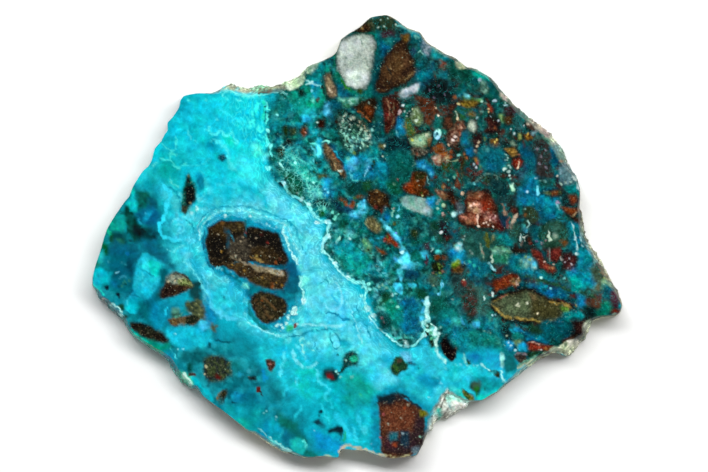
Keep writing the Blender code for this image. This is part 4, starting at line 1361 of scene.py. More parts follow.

# The big olive fragment, the right corner and the lower right edge. The pale vertical streaks near the right edge,
# from 571,221 to 594,268, and the pale beads at 576,254 are painted highlights: the lamp's shine on the rounded right
# edge, drawn as veins and beads.
RIGHT_CORNER = """
stone 3a1c18 1.6 487,303 493,299 500,295 508,291 516,290 524,288 532,288 538,292 544,297 551,299 557,300 561,300 568,302 574,308 577,312 571,315 566,319 560,323 553,325 545,325 538,323 530,323 520,322 509,321 503,317 497,312 490,307
stone 4c5238/5c6448/.5/4 1.1 490,303 495,300 502,296 510,293 518,292 526,290 532,291 538,295 544,299 550,301 556,303 562,303 568,305 573,310 571,313 566,316 560,321 553,323 545,323 538,321 530,321 520,320 510,319 504,316 498,311 493,307
pool 4a4828 4 532,300 556,304 556,316 534,316
pool 56684c 4 506,300 526,296 528,312 508,314
vein a89048 2 492,305 498,310 505,316 514,318 524,319 534,320 546,322 558,320
vein b09048 1.6 550,302 558,304 564,304 570,309
vein 8a7840 1.4 492,303 500,298 508,294
pool 6a9a38 1.4 560,307 566,307 569,311 563,312
vein 9a5048 1.6 500,298 506,295
pool 7a6a48 2 531,293 537,294 536,298 531,298
bead b8c0a8 1.1 516,306 519,307 518,304 527,303
bead f0e8c0 1.2 538,314
vein 6c7450 1.3 528,294 530,304
vein 5c3020 1.4 552,300 562,301 572,306
pool 385850/4c6c60/.5/4 4 468,286 486,288 488,310 470,312
pool 283028/4a2c28/.5/2.6 3.5 464,290 474,288 476,316 466,318
bead d0e8e0 1.2 492,293 492,296 484,298
vein b8e0dc 1.4 484,296 484,300
bead a8d8e0 1.2 492,316 496,315
vein 40a890 1.6 440,310 445,313 450,317
pool 50a8e0 1.4 460,316 463,320 464,324 461,321
pool 48a8e4 1.5 473,323 479,322 478,327 474,327
bead 88a8a0 1.2 453,299 462,343 461,346
stone 2a5018 1.4 432,306 437,305 440,308 437,310 433,310
pool 0c3038 2 434,320 440,320 440,325 435,325
pool 0a3c28 2.4 417,289 424,290 424,298 418,298
pool 086078/0a7894/.5/4 4 400,300 416,300 418,330 404,336 396,320
pool 087868/0a8c7c/.5/3 4 384,304 398,304 400,326 388,326
pool 0a3434/0c4c48/.5/3 3 377,314 386,314 392,326 382,330
bead 7a6068 1.2 384,322 382,318
bead 90d8c8 1.8 397,307
bead 60b8a8 1.3 384,304 392,302
vein 50d0c0 1.5 388,335 394,338 401,338
vein 50d0c0 1.3 404,338 413,338
stone c8fff8 1.2 403,341 406,341 409,346 408,348 404,346
pool 0a3c38 2 406,338 413,340 412,344 408,342
pool 0a4a40/085848/.5/3 3.4 430,298 442,296 450,304 444,316 432,314
pool 0c8078 3 440,312 456,312 456,326 442,326
pool 40b0a8 2 452,318 460,320 458,330 452,328
pool 0a7888 4 440,324 462,326 470,344 462,352
pool 183438/142828/.5/3 3 502,324 512,326 510,342 503,340
bead b0b8a0 1.2 507,336
vein 6c9888 1.3 483,331 490,331 490,335
pool 107870/0c7474/.5/4 4 470,330 492,336 496,346 476,344
vein 20b0c8 2 511,328 514,334 516,338
vein 20b0c8 1.8 514,328 520,330 527,334
pool 1488b0 2.4 511,328 518,328 524,330 516,336
pool 0c7870 2 514,334 522,334 522,340 515,340
pool 90a068 1.8 515,340 520,340 520,345 515,344
pool 1c98cc/38b0d8/.4/3 1.8 505,343 511,341 514,346 512,351 507,350
bead c0f0f8 1.3 509,343 511,346 522,344 518,348 515,350 526,350
pool 18a0c4 1.8 518,345 526,343 528,351 520,351
pool 0a7c98/0c90a8/.5/4 3 526,332 540,331 548,338 546,343 528,341
pool 1c3c28/285038/.5/2.4 2.4 524,326 542,326 546,334 530,332
pool 0a5c68/086878/.5/4 3.4 542,322 568,320 572,336 548,338
stone a03820/b84c30/.4/2.4 1.2 527,343 533,342 541,344 549,345 556,348 552,351 545,351 540,351 532,352 528,350
vein d8a890 1.1 528,343 534,343 541,345
bead e8e8e0 1.1 541,350
bead a07838 1.4 546,348 550,349
pool 1a3a20/2a4a2c/.5/2.4 2.4 528,352 548,352 546,358 530,358
stone 484038/2c2424/.4/2.4 1.4 513,356 518,354 526,354 528,358 525,364 521,366 517,361
vein 9a8c94 1.6 514,355 520,353 527,354
pool 0a8088 3 500,338 508,344 506,354 500,352
pool 0a7c84/0c6870/.5/4 3 504,352 514,356 518,368 506,372
pool 008890 2.6 564,180 580,181 580,193 566,193
pool 2a2030 2 556,175 564,175 564,184 557,184
stone 8a3818/b05028/.4/2.4 2 568,194 576,194 578,202 574,206 568,203
pool 202c2c/14383c/.5/3 3 560,190 568,192 568,206 561,204
bead b898c0 1.6 558,203
stone b85820/8a3c18/.4/2.2 1.3 561,206 566,207 574,208 580,208 577,213 573,218 569,214 564,210
vein d0b080 1.3 572,217 579,209
stone 5a3420 1.4 573,217 579,217 579,223 574,223
pool 4a4a30 2.4 530,207 536,208 535,222 530,221
pool 0a7088/0c8898/.5/4 3 568,224 582,226 584,252 572,250
vein b8e0e0 1.2 571,221 574,232 576,242 577,252
vein a8d8d8 1.1 580,233 582,247
vein a8d8d8 1.6 585,237 588,247 590,255
vein b0e0d8 1.5 592,250 594,258 594,268
pool 188068 2 582,227 588,227 588,237 583,236
bead d8ece8 1.5 576,254 579,254
pool 0890a0 3.4 579,250 591,252 592,270 580,268
pool 5a5c48/6c7460/.5/3 3.4 589,267 602,268 604,290 592,292
pool 9a6a38 2 600,266 609,267 608,274 601,273
bead 90a060 2 605,277
pool 88b088 2.4 604,280 611,282 610,288 605,287
vein 80a8a0 1.3 603,283 607,295
pool 104858/0c5c6c/.5/4 3 604,287 618,288 619,300 606,300
pool 4a2838 2.4 611,292 620,293 620,307 612,308
stone a02818/80301c/.4/2 1.4 609,311 614,308 621,309 621,312 615,315 610,313
pool 007868/008870/.5/3 3 592,304 608,303 608,317 594,317
pool 5a3828 2 587,299 598,299 598,307 588,306
vein 2a5a40 3 576,291 586,294 594,298
pool 0888a8/0a98b0/.5/4 3 566,270 590,272 592,288 570,284
pool 00a0a0 2.6 571,278 579,278 579,290 572,290
bead a89030 1.8 576,305
pool 1088b0 2.4 579,295 585,296 584,307 579,306
pool 041818/102424/.5/2.4 2.4 584,307 594,307 594,317 585,317
pool 009098 3 564,312 582,312 581,321 566,322
stone 2c1818/442420/.5/2.4 2.6 571,320 590,319 590,334 574,336
stone 4a2c1c/6a4434/.4/2.4 2 561,337 576,335 576,344 563,346
pool 006878 3 544,324 566,322 568,336 548,338
"""

# What lies on the rim: sugary crust at the top left; worn skin on the right shoulder, painted as a pale grey-beige
# band that also carries a painted reflection of the lamp on that slope; lumpy cream crust and a cream line along the
# lower edges; and the crumbly floor of the broken corner.
RIM_CRUST_AND_SHINE = """
stone 9cac84/d8e4c0/.5/2 1.4 219,90 219,85 224,81 230,84 242,88 252,86 262,79 280,84 286,78 298,72 306,72 303,82 296,88 284,90 270,92 258,92 244,93 232,90
pool c8f0c8/e8ffe0/.5/2.4 1.6 283,86 288,78 300,73 304,80 296,88 286,90
pool 60a890/90c8b0/.4/2 1.6 252,84 262,79 270,84 266,92 254,92
bead 6a5a38 1.8 252,87 276,86 262,90
bead 5a4a30 1.2 256,84 268,88 273,82 266,91 281,87 247,90 290,84 285,88
vein 5a4a34 1.4 250,90 258,92.5 266,93 274,90
bead 40b8c0 2.4 284,80
bead d0e0c8 1.3 258,85 266,83 272,87 282,84 292,82 298,79 247,90
bead 80c8e0 2.2 285,80
bead c8d0c8 1.8 221,87 225,85
pool b0c8b0/90a888/.5/2 1.6 304,72 310,68 318,64 312,74
pool 889c80/b0a890/.4/2 1.6 455,60 466,57 468,66 458,68
pool d8c8a8/b0b898/.4/2 1.6 456,59 468,58 470,66 460,68
pool 00a890/00b8a0/.5/3 2 470,66 480,71 488,74 495,80 490,82 480,78 472,74
pool 08686c/0a5850/.5/4 3 486,82 496,84 498,98 488,98
pool 90a898/506858/.5/1.8 2 481,82 487,82 488,93 483,93
bead a8b8c8 1.8 480,79
pool 184a38/2a5c44/.5/3 2.4 496,84 502,88 520,106 528,118 514,112 500,100
pool c0d0b8/c8b8a8/.5/2.2 1.6 501,90 508,94 513,102 506,101 500,96
bead a8c0d0 1.8 494,101
bead a8d0c0 1.2 482,101 486,103 505,103
stone b04028/8a3020/.4/2 1.2 486,103 490,104 494,109 493,112 489,111
bead d0b080 1.1 488,108 489,112
vein a8c8d0 1.3 504,104 509,107
pool 4a3038/3a2420/.5/2.4 2.4 506,107 516,109 516,117 507,116
bead 88b8a8 1.8 481,112
pool 9ab068 1.6 500,114 505,114 505,121 501,121
stone 5a3818/6c4a24/.4/2.4 1.8 504,117 512,115 513,124 506,125
pool 2a5c5c/487878/.4/3 2.4 516,119 524,119 524,130 517,130
bead c8d8d8 1 524,125 511,129 514,134
stone 6a4030/9a7060/.4/2 1.6 526,119 535,122 541,130 534,131 527,127
bead d8c8b0 1.4 531,121 528,124
stone b8c870 1.2 517,133 522,133 522,139 518,141
stone a06020/c88830/.4/2 1.4 524,134 530,132 533,139 527,141
vein e8c050 1.3 528,133 528,138
pool 6a9888/90b8a8/.4/2 1.8 534,139 546,135 546,140 538,142
pool 8a98a0 1.6 532,131 537,129 537,134 533,135
pool 2c2a28/453e3c/.5/2.2 3 534,142 548,140 552,160 550,178 538,176 535,160
bead 9a90a0 1.1 540,164 545,150 541,157 546,168 537,149
pool 0a6880/086078/.5/4 3.4 520,146 534,150 536,168 524,166
bead a8d0c8 1 506,155 505,160 510,168 508,158 512,153
stone a8c8b0 1.4 508,141 513,140 517,145 513,147
stone b08038/d8a850/.4/2 1.3 504,149 508,147 514,147 517,151 517,156 513,157 509,153
bead c88060 1.4 518,155
stone a82c18/c04828/.35/2.4 1.3 513,160 519,158 523,161 521,166 517,169 512,165
vein f0d8b8 1.8 519,161 518,168
pool 00607c/005070/.5/4 1.8 551,145 560,158 557,167 551,166
vein 70c0d8 1.6 551,145 560,158
pool 8c9c8c/6c8878/.5/3 1.6 520,106 530,112 540,120 551,130 560,142 566,152 568,161 562,163 556,154 548,143 540,133 530,124 522,115
pool dccfb8/a89c88/.5/2.4 1.6 532,117 542,124 550,132 546,138 538,130 530,122
pool d0b4a8/b09c90/.5/2.4 1.6 540,127 550,131 553,137 546,136
pool b8c8a8/d8e0c0/.5/2.4 1.6 548,135 556,139 558,145 552,144
pool 88a8a0/7c9c94/.5/3 1.8 552,143 561,146 566,156 560,158
bead c89870 1.8 560,161
bead c8e0e8 1.6 564,164
vein 4a3830 1.0 524,109 540,120 551,130 559,141 566,153
pool 8898a0/6c7c84/.5/3 2 558,167 564,163 572,168 578,180 570,184 560,182
bead d8d8c8 1.8 572,173 558,176
vein c8dcd8 1.8 572,176 577,183 581,190
bead a8c0b0 1.4 561,183 566,182 570,181
pool e8ecd0/a8b090/.45/2.4 1.2 556,349 562,344 570,341 580,340 583,348 578,356 570,360 566,358 561,354
bead 7a8468 1.4 575,346 562,352 570,350 566,345 573,354
bead e8ead0 1.5 568,354 578,344 560,348 572,342
pool a8b8a0/c4ccb0/.5/2.4 1.6 580,342 588,338 592,328 590,320 584,324 582,334
vein b8c8a8/88a080/.5/3 4 519,368 524,364 532,360 541,358 549,352 557,348
vein d0dcb8 1.2 520,369 527,364 536,360 546,356
vein 60a088 1.6 518,366 526,361 536,357
vein a8c8b0 1.8 592,320 600,318 608,317 617,315
vein c8d8c0 1.6 481,401 490,400 500,394 510,388
vein b0dcc8/80b8a0/.5/3 2.6 482,401 492,399 502,392 510,384 518,372
vein c8d8b8 1.8 177,388 190,396 202,405 214,414
vein d0dcc0/90b8a0/.5/3 2.2 214,414 224,422 236,432 250,441 264,447
vein c8d4a8/88a078/.5/3 2.6 272,448 284,452 296,457 306,459 316,459 326,457 334,459 341,460
vein c0c0a0 2 340,448 340,459
vein d0b8a0/b8c0a0/.5/3 2.6 341,448 349,446 357,448 366,450 374,454 386,457
stone d4dcd0/8a8c80/.4/2.2 1.4 447,388 453,393 458,396 465,400 470,402 466,410 458,424 440,436 426,434 428,424 431,414 435,406 440,398
bead f0f0e8 1.5 446,392 442,400 450,404 438,412 446,416 434,424 456,406
vein 3a3830 1.4 447,392 443,402 437,414
vein 3a3830 1.3 452,398 446,410 438,422
vein 4a4840 1.2 458,402 452,414 444,424
pool 20b8a0 1.8 436,408 441,408 441,420 437,420
pool b8f0e0/90d8c8/.5/2.4 2.4 446,396 456,394 468,402 460,412 450,408
pool f4f4ec/c8e8d8/.4/2 1.6 452,402 462,402 468,406 460,412 452,412
bead e8e8c8 1.8 460,405 465,408
"""

# Thin glazes that deepen or warm whole grounds: a half light grey, bcbcbc, would change nothing.
GLAZES = """
glaze 84bcbc 10 150,140 175,92 262,92 264,180 240,200 200,190 160,175
glaze acbcbc 10 330,190 400,200 440,240 430,300 370,300 330,240
glaze a4a8a4 12 492,240 516,236 520,262 500,270 486,262
glaze a8a4a0 8 548,322 572,322 576,342 552,346
glaze 88acb2 14 215,385 262,385 270,430 240,440 215,415
glaze aae3de 7 338,130 362,130 366,150 352,160 340,152
glaze b39b8b 7 360,110 380,110 382,130 360,130
glaze e8a6a0 7 388,170 412,170 412,192 390,192
glaze ece3ca 7 438,108 462,108 464,132 438,132
glaze b3a68e 7 438,148 462,148 464,172 438,172
glaze d3cbc9 7 512,296 548,296 552,312 514,314
glaze d4bcb8 7 468,200 492,200 492,222 470,222
glaze bcc5c2 10 232,96 262,96 264,172 240,172
glaze 9cb2bf 10 316,296 346,296 348,324 316,324
glaze 81b3b3 10 316,386 344,386 346,414 316,414
glaze 9cc4c4 9 130,205 160,205 160,240 130,240
glaze fce8e0 7 596,285 608,280 616,298 604,306 594,300
glaze 88a4a0 14 380,172 412,170 432,190 405,204 380,196
glaze a8b8b8 14 385,145 425,145 430,172 390,172
glaze 708e98 9 110,255 132,250 136,270 140,300 128,300 108,285
glaze 78b0b8 8 136,300 156,298 164,322 150,330 136,318
glaze d8e8e4 12 284,104 312,96 324,130 330,190 300,184 284,160
"""


# The breccia's outline on the sheet. Fragments and matrix inside it are far more mottled.
BRECCIA_EDGE = """266,70 300,60 366,10 470,50 580,150 640,300 560,370 500,350 450,352 425,345 400,350 380,330
366,290 345,276 326,258 324,236 328,222 308,210 290,194 272,178 266,150"""
LAYERS = (GROUND, TEXTURE, LEFT_CLOUDS, LEFT_HAZE, LEFT, DARK_FRAGMENTS, MIDDLE, LOWER_FRAGMENTS, TOP, BRECCIA, BRECCIA_RIGHT,
          RIGHT_CORNER, GLAZES, RIM_CRUST_AND_SHINE)


# Growth bands follow the edge of the breccia, the big dark fragments and the pale grounds.
BRECCIA_HEM = """270,150 272,178 279,181 288,191 301,199 312,211 321,221 330,225 329,236 323,245 329,258
341,272 348,278 363,283 366,295 367,309 375,320 394,341 412,347 423,322"""
DARK_HEM = """207,228 218,221 246,220 278,232 290,258 286,270 290,300 276,321 256,316 250,296 236,280
214,267 206,249"""
LACE = "232,94 274,92 276,130 272,182 252,178 246,150 226,128"
NETWORK = "280,146 296,148 306,172 322,184 330,206 318,214 304,198 286,182 276,166"


def banding(sheet):
    """The growth bands' count at every place, and how clear they and the lace are there."""
    x, y = sheet["x"], sheet["y"]
    hem = line_distance(x, y, smooth_points(places(BRECCIA_HEM), False, 3), 0.0)
    dark = np.abs(signed_distance(x, y, smooth_points(places(DARK_HEM), True, 3)))
    nearest = -8 * np.log(np.exp(-hem / 8) + np.exp(-dark / 8))
    ground = np.sqrt(sheet["body"]).sum(1)
    count = nearest / 5 + 3.0 * ground + 2.2 * (rough(x, y, 26, 71) - 0.5)
    clear = np.clip(1.1 - np.maximum(nearest, 0) / 26, 0.22, 1)
    lace = np.clip(0.5 - signed_distance(x, y, smooth_points(places(LACE), True, 4)) / 14, 0, 1)
    network = np.clip(0.5 - signed_distance(x, y, smooth_points(places(NETWORK), True, 4)) / 8, 0, 1)
    return np.stack([count, clear, lace - network], 1)


def painted(bm):
    """The sheet under every vertex, painted. Below the face the pattern drifts, as grain does."""
    at = np.array([vertex.co for vertex in bm.verts]) / MM
    depth = np.clip((8 - at[:, 2]) / 8, 0, 1)
    x, y = at[:, 0] * SHEET + SHEET_LEFT, SHEET_TOP - at[:, 1] * SHEET
    z = at[:, 2] * SHEET
    drift_x = depth * (14 * (rough(y, z, 30, 41) - 0.5) + 3 * (noise(y, z, 7, 42) - 0.5))
    drift_y = depth * (14 * (rough(x, z, 30, 43) - 0.5) + 3 * (noise(x, z, 7, 44) - 0.5))
    pull = 1 - depth * 5 / np.maximum(np.hypot(x - 355, y - 240), 40)
    sheet = {"x": 355 + (x - 355) * pull + drift_x, "y": 240 + (y - 240) * pull + drift_y}
    sheet["body"] = np.tile(colour("0bb4c9"), (len(x), 1))
    sheet["detail"] = np.zeros(len(x))
    within = signed_distance(sheet["x"], sheet["y"], smooth_points(places(BRECCIA_EDGE), True, 4))
    sheet["breccia"] = np.clip(0.5 - within / 12, 0, 1)
    sheet["inside"] = np.clip(0.5 - within / 4, 0, 1)
    sheet["solid"] = np.zeros(len(x))
    for drawing in LAYERS:
        before = sheet["body"].copy()
        paint(sheet, drawing)
        if drawing is GROUND:
            sheet["bands"] = banding(sheet)
    # Where the last drawing changed the colour: the rim's crust, and the painted reflection on the right shoulder.
    sheet["crusted"] = np.clip(40 * np.abs(sheet["body"] - before).sum(1), 0, 1)
    return sheet


# The face gets small cells only where the pattern is sharp.
for sharpest in (12400, 6200):
    bm.verts.index_update()
    detail = painted(bm)["detail"]
    cells = [f for f in bm.faces if f.normal.z > 0.99 and len(f.verts) == 4 and f.verts[0].co.z > 7.9 * MM]
    score = [max(detail[v.index] for v in f.verts) * f.calc_area() for f in cells]
    cut = {e for k in np.argsort(score)[::-1][:sharpest] for e in cells[k].edges}
    bmesh.ops.subdivide_edges(bm, edges=list(cut), cuts=1, use_grid_fill=True)
    bm.normal_update()
print("faces", len(bm.faces), "tris", sum(len(f.verts) - 2 for f in bm.faces))

# The broken corner's floor drops away from the upper end of the break, and is crumbly.
SCAR = """447,388 453,393 458,396 465,400 470,402 474,412 464,428 446,440 424,446 425,436 428,424
430,414 435,406 440,398"""
SCAR_START = 0.3
SCAR_SLOPE = 0.42
at = np.array([vertex.co for vertex in bm.verts]) / MM
x, y = at[:, 0] * SHEET + SHEET_LEFT, SHEET_TOP - at[:, 1] * SHEET
into = -signed_distance(x, y, places(SCAR))
fall = SCAR_START + SCAR_SLOPE * np.clip((y - 388) / SHEET, 0, 20)
crumble = 0.9 * (rough(x, y, 9, 51) - 0.5) + 0.6 * (noise(x, y, 2.6, 54) - 0.5)
scar_floor = 8 - np.maximum(fall + crumble, 0.05)
share = np.clip(into / 2.0 + 0.2, 0, 1)
lowered = at[:, 2] * (1 - share) + np.minimum(at[:, 2], scar_floor) * share
for vertex, height in zip(bm.verts, lowered):
    vertex.co.z = height * MM
scar = (share > 0.3) & (at[:, 2] > 4)

# Colours of the whole skin. Down the rim the rock's own colour gives way to weathered rind.
final = painted(bm)
body = final["body"]
x, y = final["x"], final["y"]
at = np.array([vertex.co for vertex in bm.verts]) / MM
z = at[:, 2]
depth = np.clip((8 - z) / 8, 0, 1)
flat_back = z < 0.01
final["bands"][:, 1] *= np.clip((body.sum(1) - 0.35) / 0.4, 0, 1)
hem = line_distance(final["x"], final["y"], smooth_points(places(BRECCIA_HEM), False, 3), 0.0)
deepened = final["breccia"] * np.clip(0.40 - 0.6 * body.mean(1), 0, 0.34)
deepened = deepened * np.clip((hem - 50) / 60, 0.15, 1)
body = body * (1 - deepened[:, None] * (1.15, 1.0, 1.0))
blue_share = final["breccia"] * (1 - final["solid"]) * np.clip(1.6 - 4 * body[:, 0], 0, 1)
body[:, 0] *= 1 - 0.38 * blue_share * (body[:, 0] < body[:, 1])
calm = np.clip(1.3 - 0.75 * body.sum(1), 0.2, 1)
rind = np.clip((depth - 0.13) / 0.3, 0, 1) * ~flat_back
rind = np.where(scar, 0.25 * rind, rind * (0.35 + 0.65 * np.clip((depth - 0.3) / 0.3, 0, 1)))
girth = 220 * np.arctan2(y - 240, x - 355)
patch = rough(girth, z * 6, 11, 61)[:, None]
speck = rough(girth, z * 6, 3.5, 64)[:, None]
warm = np.clip((x - 190) / 60, 0, 1)[:, None]
earth = colour("6a5c44") * warm + colour("2f6a66") * (1 - warm)
pale = colour("c8caa8") * warm + colour("74c0b8") * (1 - warm)
crust = earth + (pale - earth) * np.clip((patch - 0.40) / 0.16, 0, 1)
crust = crust * (0.35 + 1.3 * speck)
# Under the last drawing's marks, crust and the painted reflection alike, the rind covers less and is made brighter.
cover = rind * (1 - 0.65 * final["crusted"])
body = body + (crust - body) * (cover[:, None] * np.clip(1.15 * patch + 0.3 * depth[:, None], 0, 1))
body = body * (1 + 0.5 * (rind * final["crusted"])[:, None])
body = np.where(flat_back[:, None], body * 0.62 + 0.38 * colour("6f8f8c") * 0.6, body)
body = np.where(scar[:, None], body * (0.9 + 0.7 * speck), body)

stone_mesh = bpy.data.meshes.new("polished_slab")
for face in bm.faces:
    middle = face.calc_center_median() / MM
    level = abs(face.normal.z) > 0.95 and not any(scar[v.index] for v in face.verts)
    face.material_index = 0 if level and middle.z > 7.9 else 2 if level and middle.z < 0.05 else 1
    face.smooth = True
bm.to_mesh(stone_mesh)
bm.free()
slab = bpy.data.objects.new("polished_slab", stone_mesh)
bpy.context.scene.collection.objects.link(slab)
bpy.ops.object.select_all(action="DESELECT")
slab.select_set(True)
bpy.context.view_layer.objects.active = slab
bpy.ops.object.shade_smooth_by_angle(angle=math.radians(40))

# What the skin shows is kept at the vertices: its colour, and how much it is breccia, solid
# fragment or rind, which sets the finer grain of the finish.
LAMP_GAIN = 0.80
for name, values in (("stone_colour", np.clip(body * LAMP_GAIN, 0, 1)),
                     ("stone_grain", np.stack([calm * final["breccia"], calm * final["solid"], rind], 1)),
                     ("stone_bands", final["bands"])):
    layer = stone_mesh.color_attributes.new(name, "FLOAT_COLOR", "POINT")
    layer.data.foreach_set("color", np.column_stack([values, np.ones(len(values))]).ravel())

# The unwrapping: most of the sheet for the polished face, a smaller copy of the outline for the
# back, and the rim as a strip in three rows.
FACE_SHARE = 0.84
BACK_SHARE = 0.33
unwrap = stone_mesh.uv_layers.new(name="OFBake")
corners = np.array([loop.vertex_index for loop in stone_mesh.loops])
where = np.array([vertex.co for vertex in stone_mesh.vertices]) / MM
slot_of = np.repeat([face.material_index for face in stone_mesh.polygons],
                    [face.loop_total for face in stone_mesh.polygons])
flat = (where[:, :2] + (44.6, 37.4)) / 89.2
turn = (np.arctan2(where[:, 1], where[:, 0]) / (2 * math.pi)) % 1.0
uv = flat[corners] * FACE_SHARE + 0.004
back = slot_of == 2
uv[back] = flat[corners[back]] * BACK_SHARE + (0.004, 0.716)
for face in stone_mesh.polygons:
    if face.material_index == 1 and abs(face.normal.z) < 0.8:
        run = turn[corners[face.loop_start:face.loop_start + face.loop_total]]
        if run.max() - run.min() > 0.5:
            run = np.where(run < 0.5, run + 1, run)
        row = min(int(run.mean() * 3), 2)
        for k, share in enumerate(run):
            up = where[corners[face.loop_start + k]][2]
            uv[face.loop_start + k] = (0.35 + (share * 3 - row) * 0.62, 0.722 + row * 0.092 + up * 0.0098)
unwrap.data.foreach_set("uv", uv.ravel())


def stone_finish(name, gloss_low, gloss_high, grain_size, grain_depth, lines):
    """A stone finish: the colour at the vertices, with its finer grain, sheen and relief."""
    material = bpy.data.materials.new(name)
    material.use_nodes = True
    tree = material.node_tree
    shader = tree.nodes["Principled BSDF"]

    def add(kind, **settings):
        node = tree.nodes.new(kind)
        for key, value in settings.items():
            if hasattr(node, key):
                setattr(node, key, value)
            else:
                node.inputs[key.replace("_", " ")].default_value = value
        return node

    def join(source, target):
        tree.links.new(source, target)

    tone = add("ShaderNodeAttribute", attribute_name="stone_colour")
    kind = add("ShaderNodeAttribute", attribute_name="stone_grain")
    kinds = add("ShaderNodeSeparateColor")
    join(kind.outputs["Color"], kinds.inputs["Color"])
    band = add("ShaderNodeAttribute", attribute_name="stone_bands")
    bands_of = add("ShaderNodeSeparateColor")
    join(band.outputs["Color"], bands_of.inputs["Color"])
    where = add("ShaderNodeTexCoord")

    def lumps(size, detail, roughness):
        cloud = add("ShaderNodeTexNoise", Scale=1 / (size * MM), Detail=detail, Roughness=roughness)
        join(where.outputs["Object"], cloud.inputs["Vector"])
        return cloud.outputs["Fac"]

    def spread(value, low, high, bottom, top):
        fit = add("ShaderNodeMapRange")
        for key, number in (("From Min", low), ("From Max", high), ("To Min", bottom), ("To Max", top)):
            fit.inputs[key].default_value = number
        join(value, fit.inputs["Value"])
        return fit.outputs["Result"]

    def sum_of(operation, one, other):
        maths = add("ShaderNodeMath", operation=operation)
        for socket, value in zip(maths.inputs, (one, other)):
            if isinstance(value, float):
                socket.default_value = value
            else:
                join(value, socket)
        return maths.outputs[0]

    def blend(mode, share, one, other):
        mix = add("ShaderNodeMix", data_type="RGBA", blend_type=mode)
        for socket, value in ((mix.inputs["Factor"], share), (mix.inputs[6], one), (mix.inputs[7], other)):
            if isinstance(value, (float, tuple)):
                socket.default_value = value
            else:
                join(value, socket)
        return mix.outputs[2]

    breccia, solid, rind = kinds.outputs[0], kinds.outputs[1], kinds.outputs[2]
    fine = lumps(grain_size, 2.0, 0.5)
    medium = lumps(grain_size * 2.6, 3.0, 0.6)
    broad = lumps(grain_size * 7, 4.0, 0.6)
    clear = sum_of("MULTIPLY", sum_of("SUBTRACT", 1.0, breccia), sum_of("SUBTRACT", 1.0, solid))
    tone_out = tone.outputs["Color"]

    def scaled(tone, factor):
        shade = add("ShaderNodeVectorMath", operation="SCALE")
        join(tone, shade.inputs[0])
        join(factor, shade.inputs["Scale"])
        return shade.outputs[0]

    def swing(cloud, low, high, reach, share):
        """A factor round one that swings with the cloud, as far as the share says."""
        return sum_of("ADD", sum_of("MULTIPLY", spread(cloud, low, high, -reach, reach), share), 1.0)

    # Matrix: dark mottling with fine pale threads. Fragments: sharp grain. Turquoise: cloudiness.
    rock = sum_of("MULTIPLY", breccia, sum_of("SUBTRACT", 1.0, solid))
    tone_out = scaled(tone_out, swing(medium, 0.36, 0.64, 0.27, breccia))
    tone_out = scaled(tone_out, swing(fine, 0.36, 0.64, 0.22, rock))
    tone_out = scaled(tone_out, swing(fine, 0.38, 0.62, 0.40, solid))
    tone_out = scaled(tone_out, swing(broad, 0.35, 0.65, 0.10, clear))
    tone_out = scaled(tone_out, swing(medium, 0.35, 0.65, 0.10, clear))
    tone_out = scaled(tone_out, swing(fine, 0.35, 0.65, 0.07, clear))
    tone_out = scaled(tone_out, swing(medium, 0.38, 0.62, 0.3, rind))
    tone_out = scaled(tone_out, swing(fine, 0.38, 0.62, 0.5, rind))
    ridge = sum_of("ABSOLUTE", sum_of("SUBTRACT", lumps(grain_size * 4, 3.0, 0.65), 0.5), 0.0)
    threads = sum_of("MULTIPLY", spread(ridge, 0.0, 0.018, 0.34, 0.0), rock)
    threads = sum_of("MULTIPLY", threads, spread(broad, 0.42, 0.58, 0.1, 1.0))
    tone_out = blend("MIX", threads, tone_out, (0.02, 0.42, 0.40, 1.0))
    # Sparse pale specks in the rocky parts
    grains = sum_of("MULTIPLY", spread(fine, 0.60, 0.68, 0.0, 0.40), solid)
    tone_out = blend("MIX", grains, tone_out, (0.13, 0.10, 0.05, 1.0))
    specks = sum_of("MULTIPLY", spread(fine, 0.71, 0.77, 0.0, 0.7), sum_of("MAXIMUM", breccia, solid))
    tone_out = blend("MIX", specks, tone_out, (0.20, 0.40, 0.33, 1.0))
    if lines:
        count = bands_of.outputs[0]
        wobble = sum_of("ADD", count, sum_of("MULTIPLY", broad, 2.4))
        phase = sum_of("ABSOLUTE", sum_of("SUBTRACT", sum_of("FRACT", wobble, 0.0), 0.5), 0.0)
        shown = sum_of("MULTIPLY", clear, bands_of.outputs[1])
        ripple = sum_of("MULTIPLY", spread(phase, 0.0, 0.16, 0.42, -0.08), shown)
        tone_out = scaled(tone_out, sum_of("ADD", ripple, 1.0))
        trough = sum_of("MULTIPLY", spread(phase, 0.2, 0.5, 0.0, 0.5), shown)
        tone_out = blend("MIX", trough, tone_out, (0.002, 0.40, 0.56, 1.0))
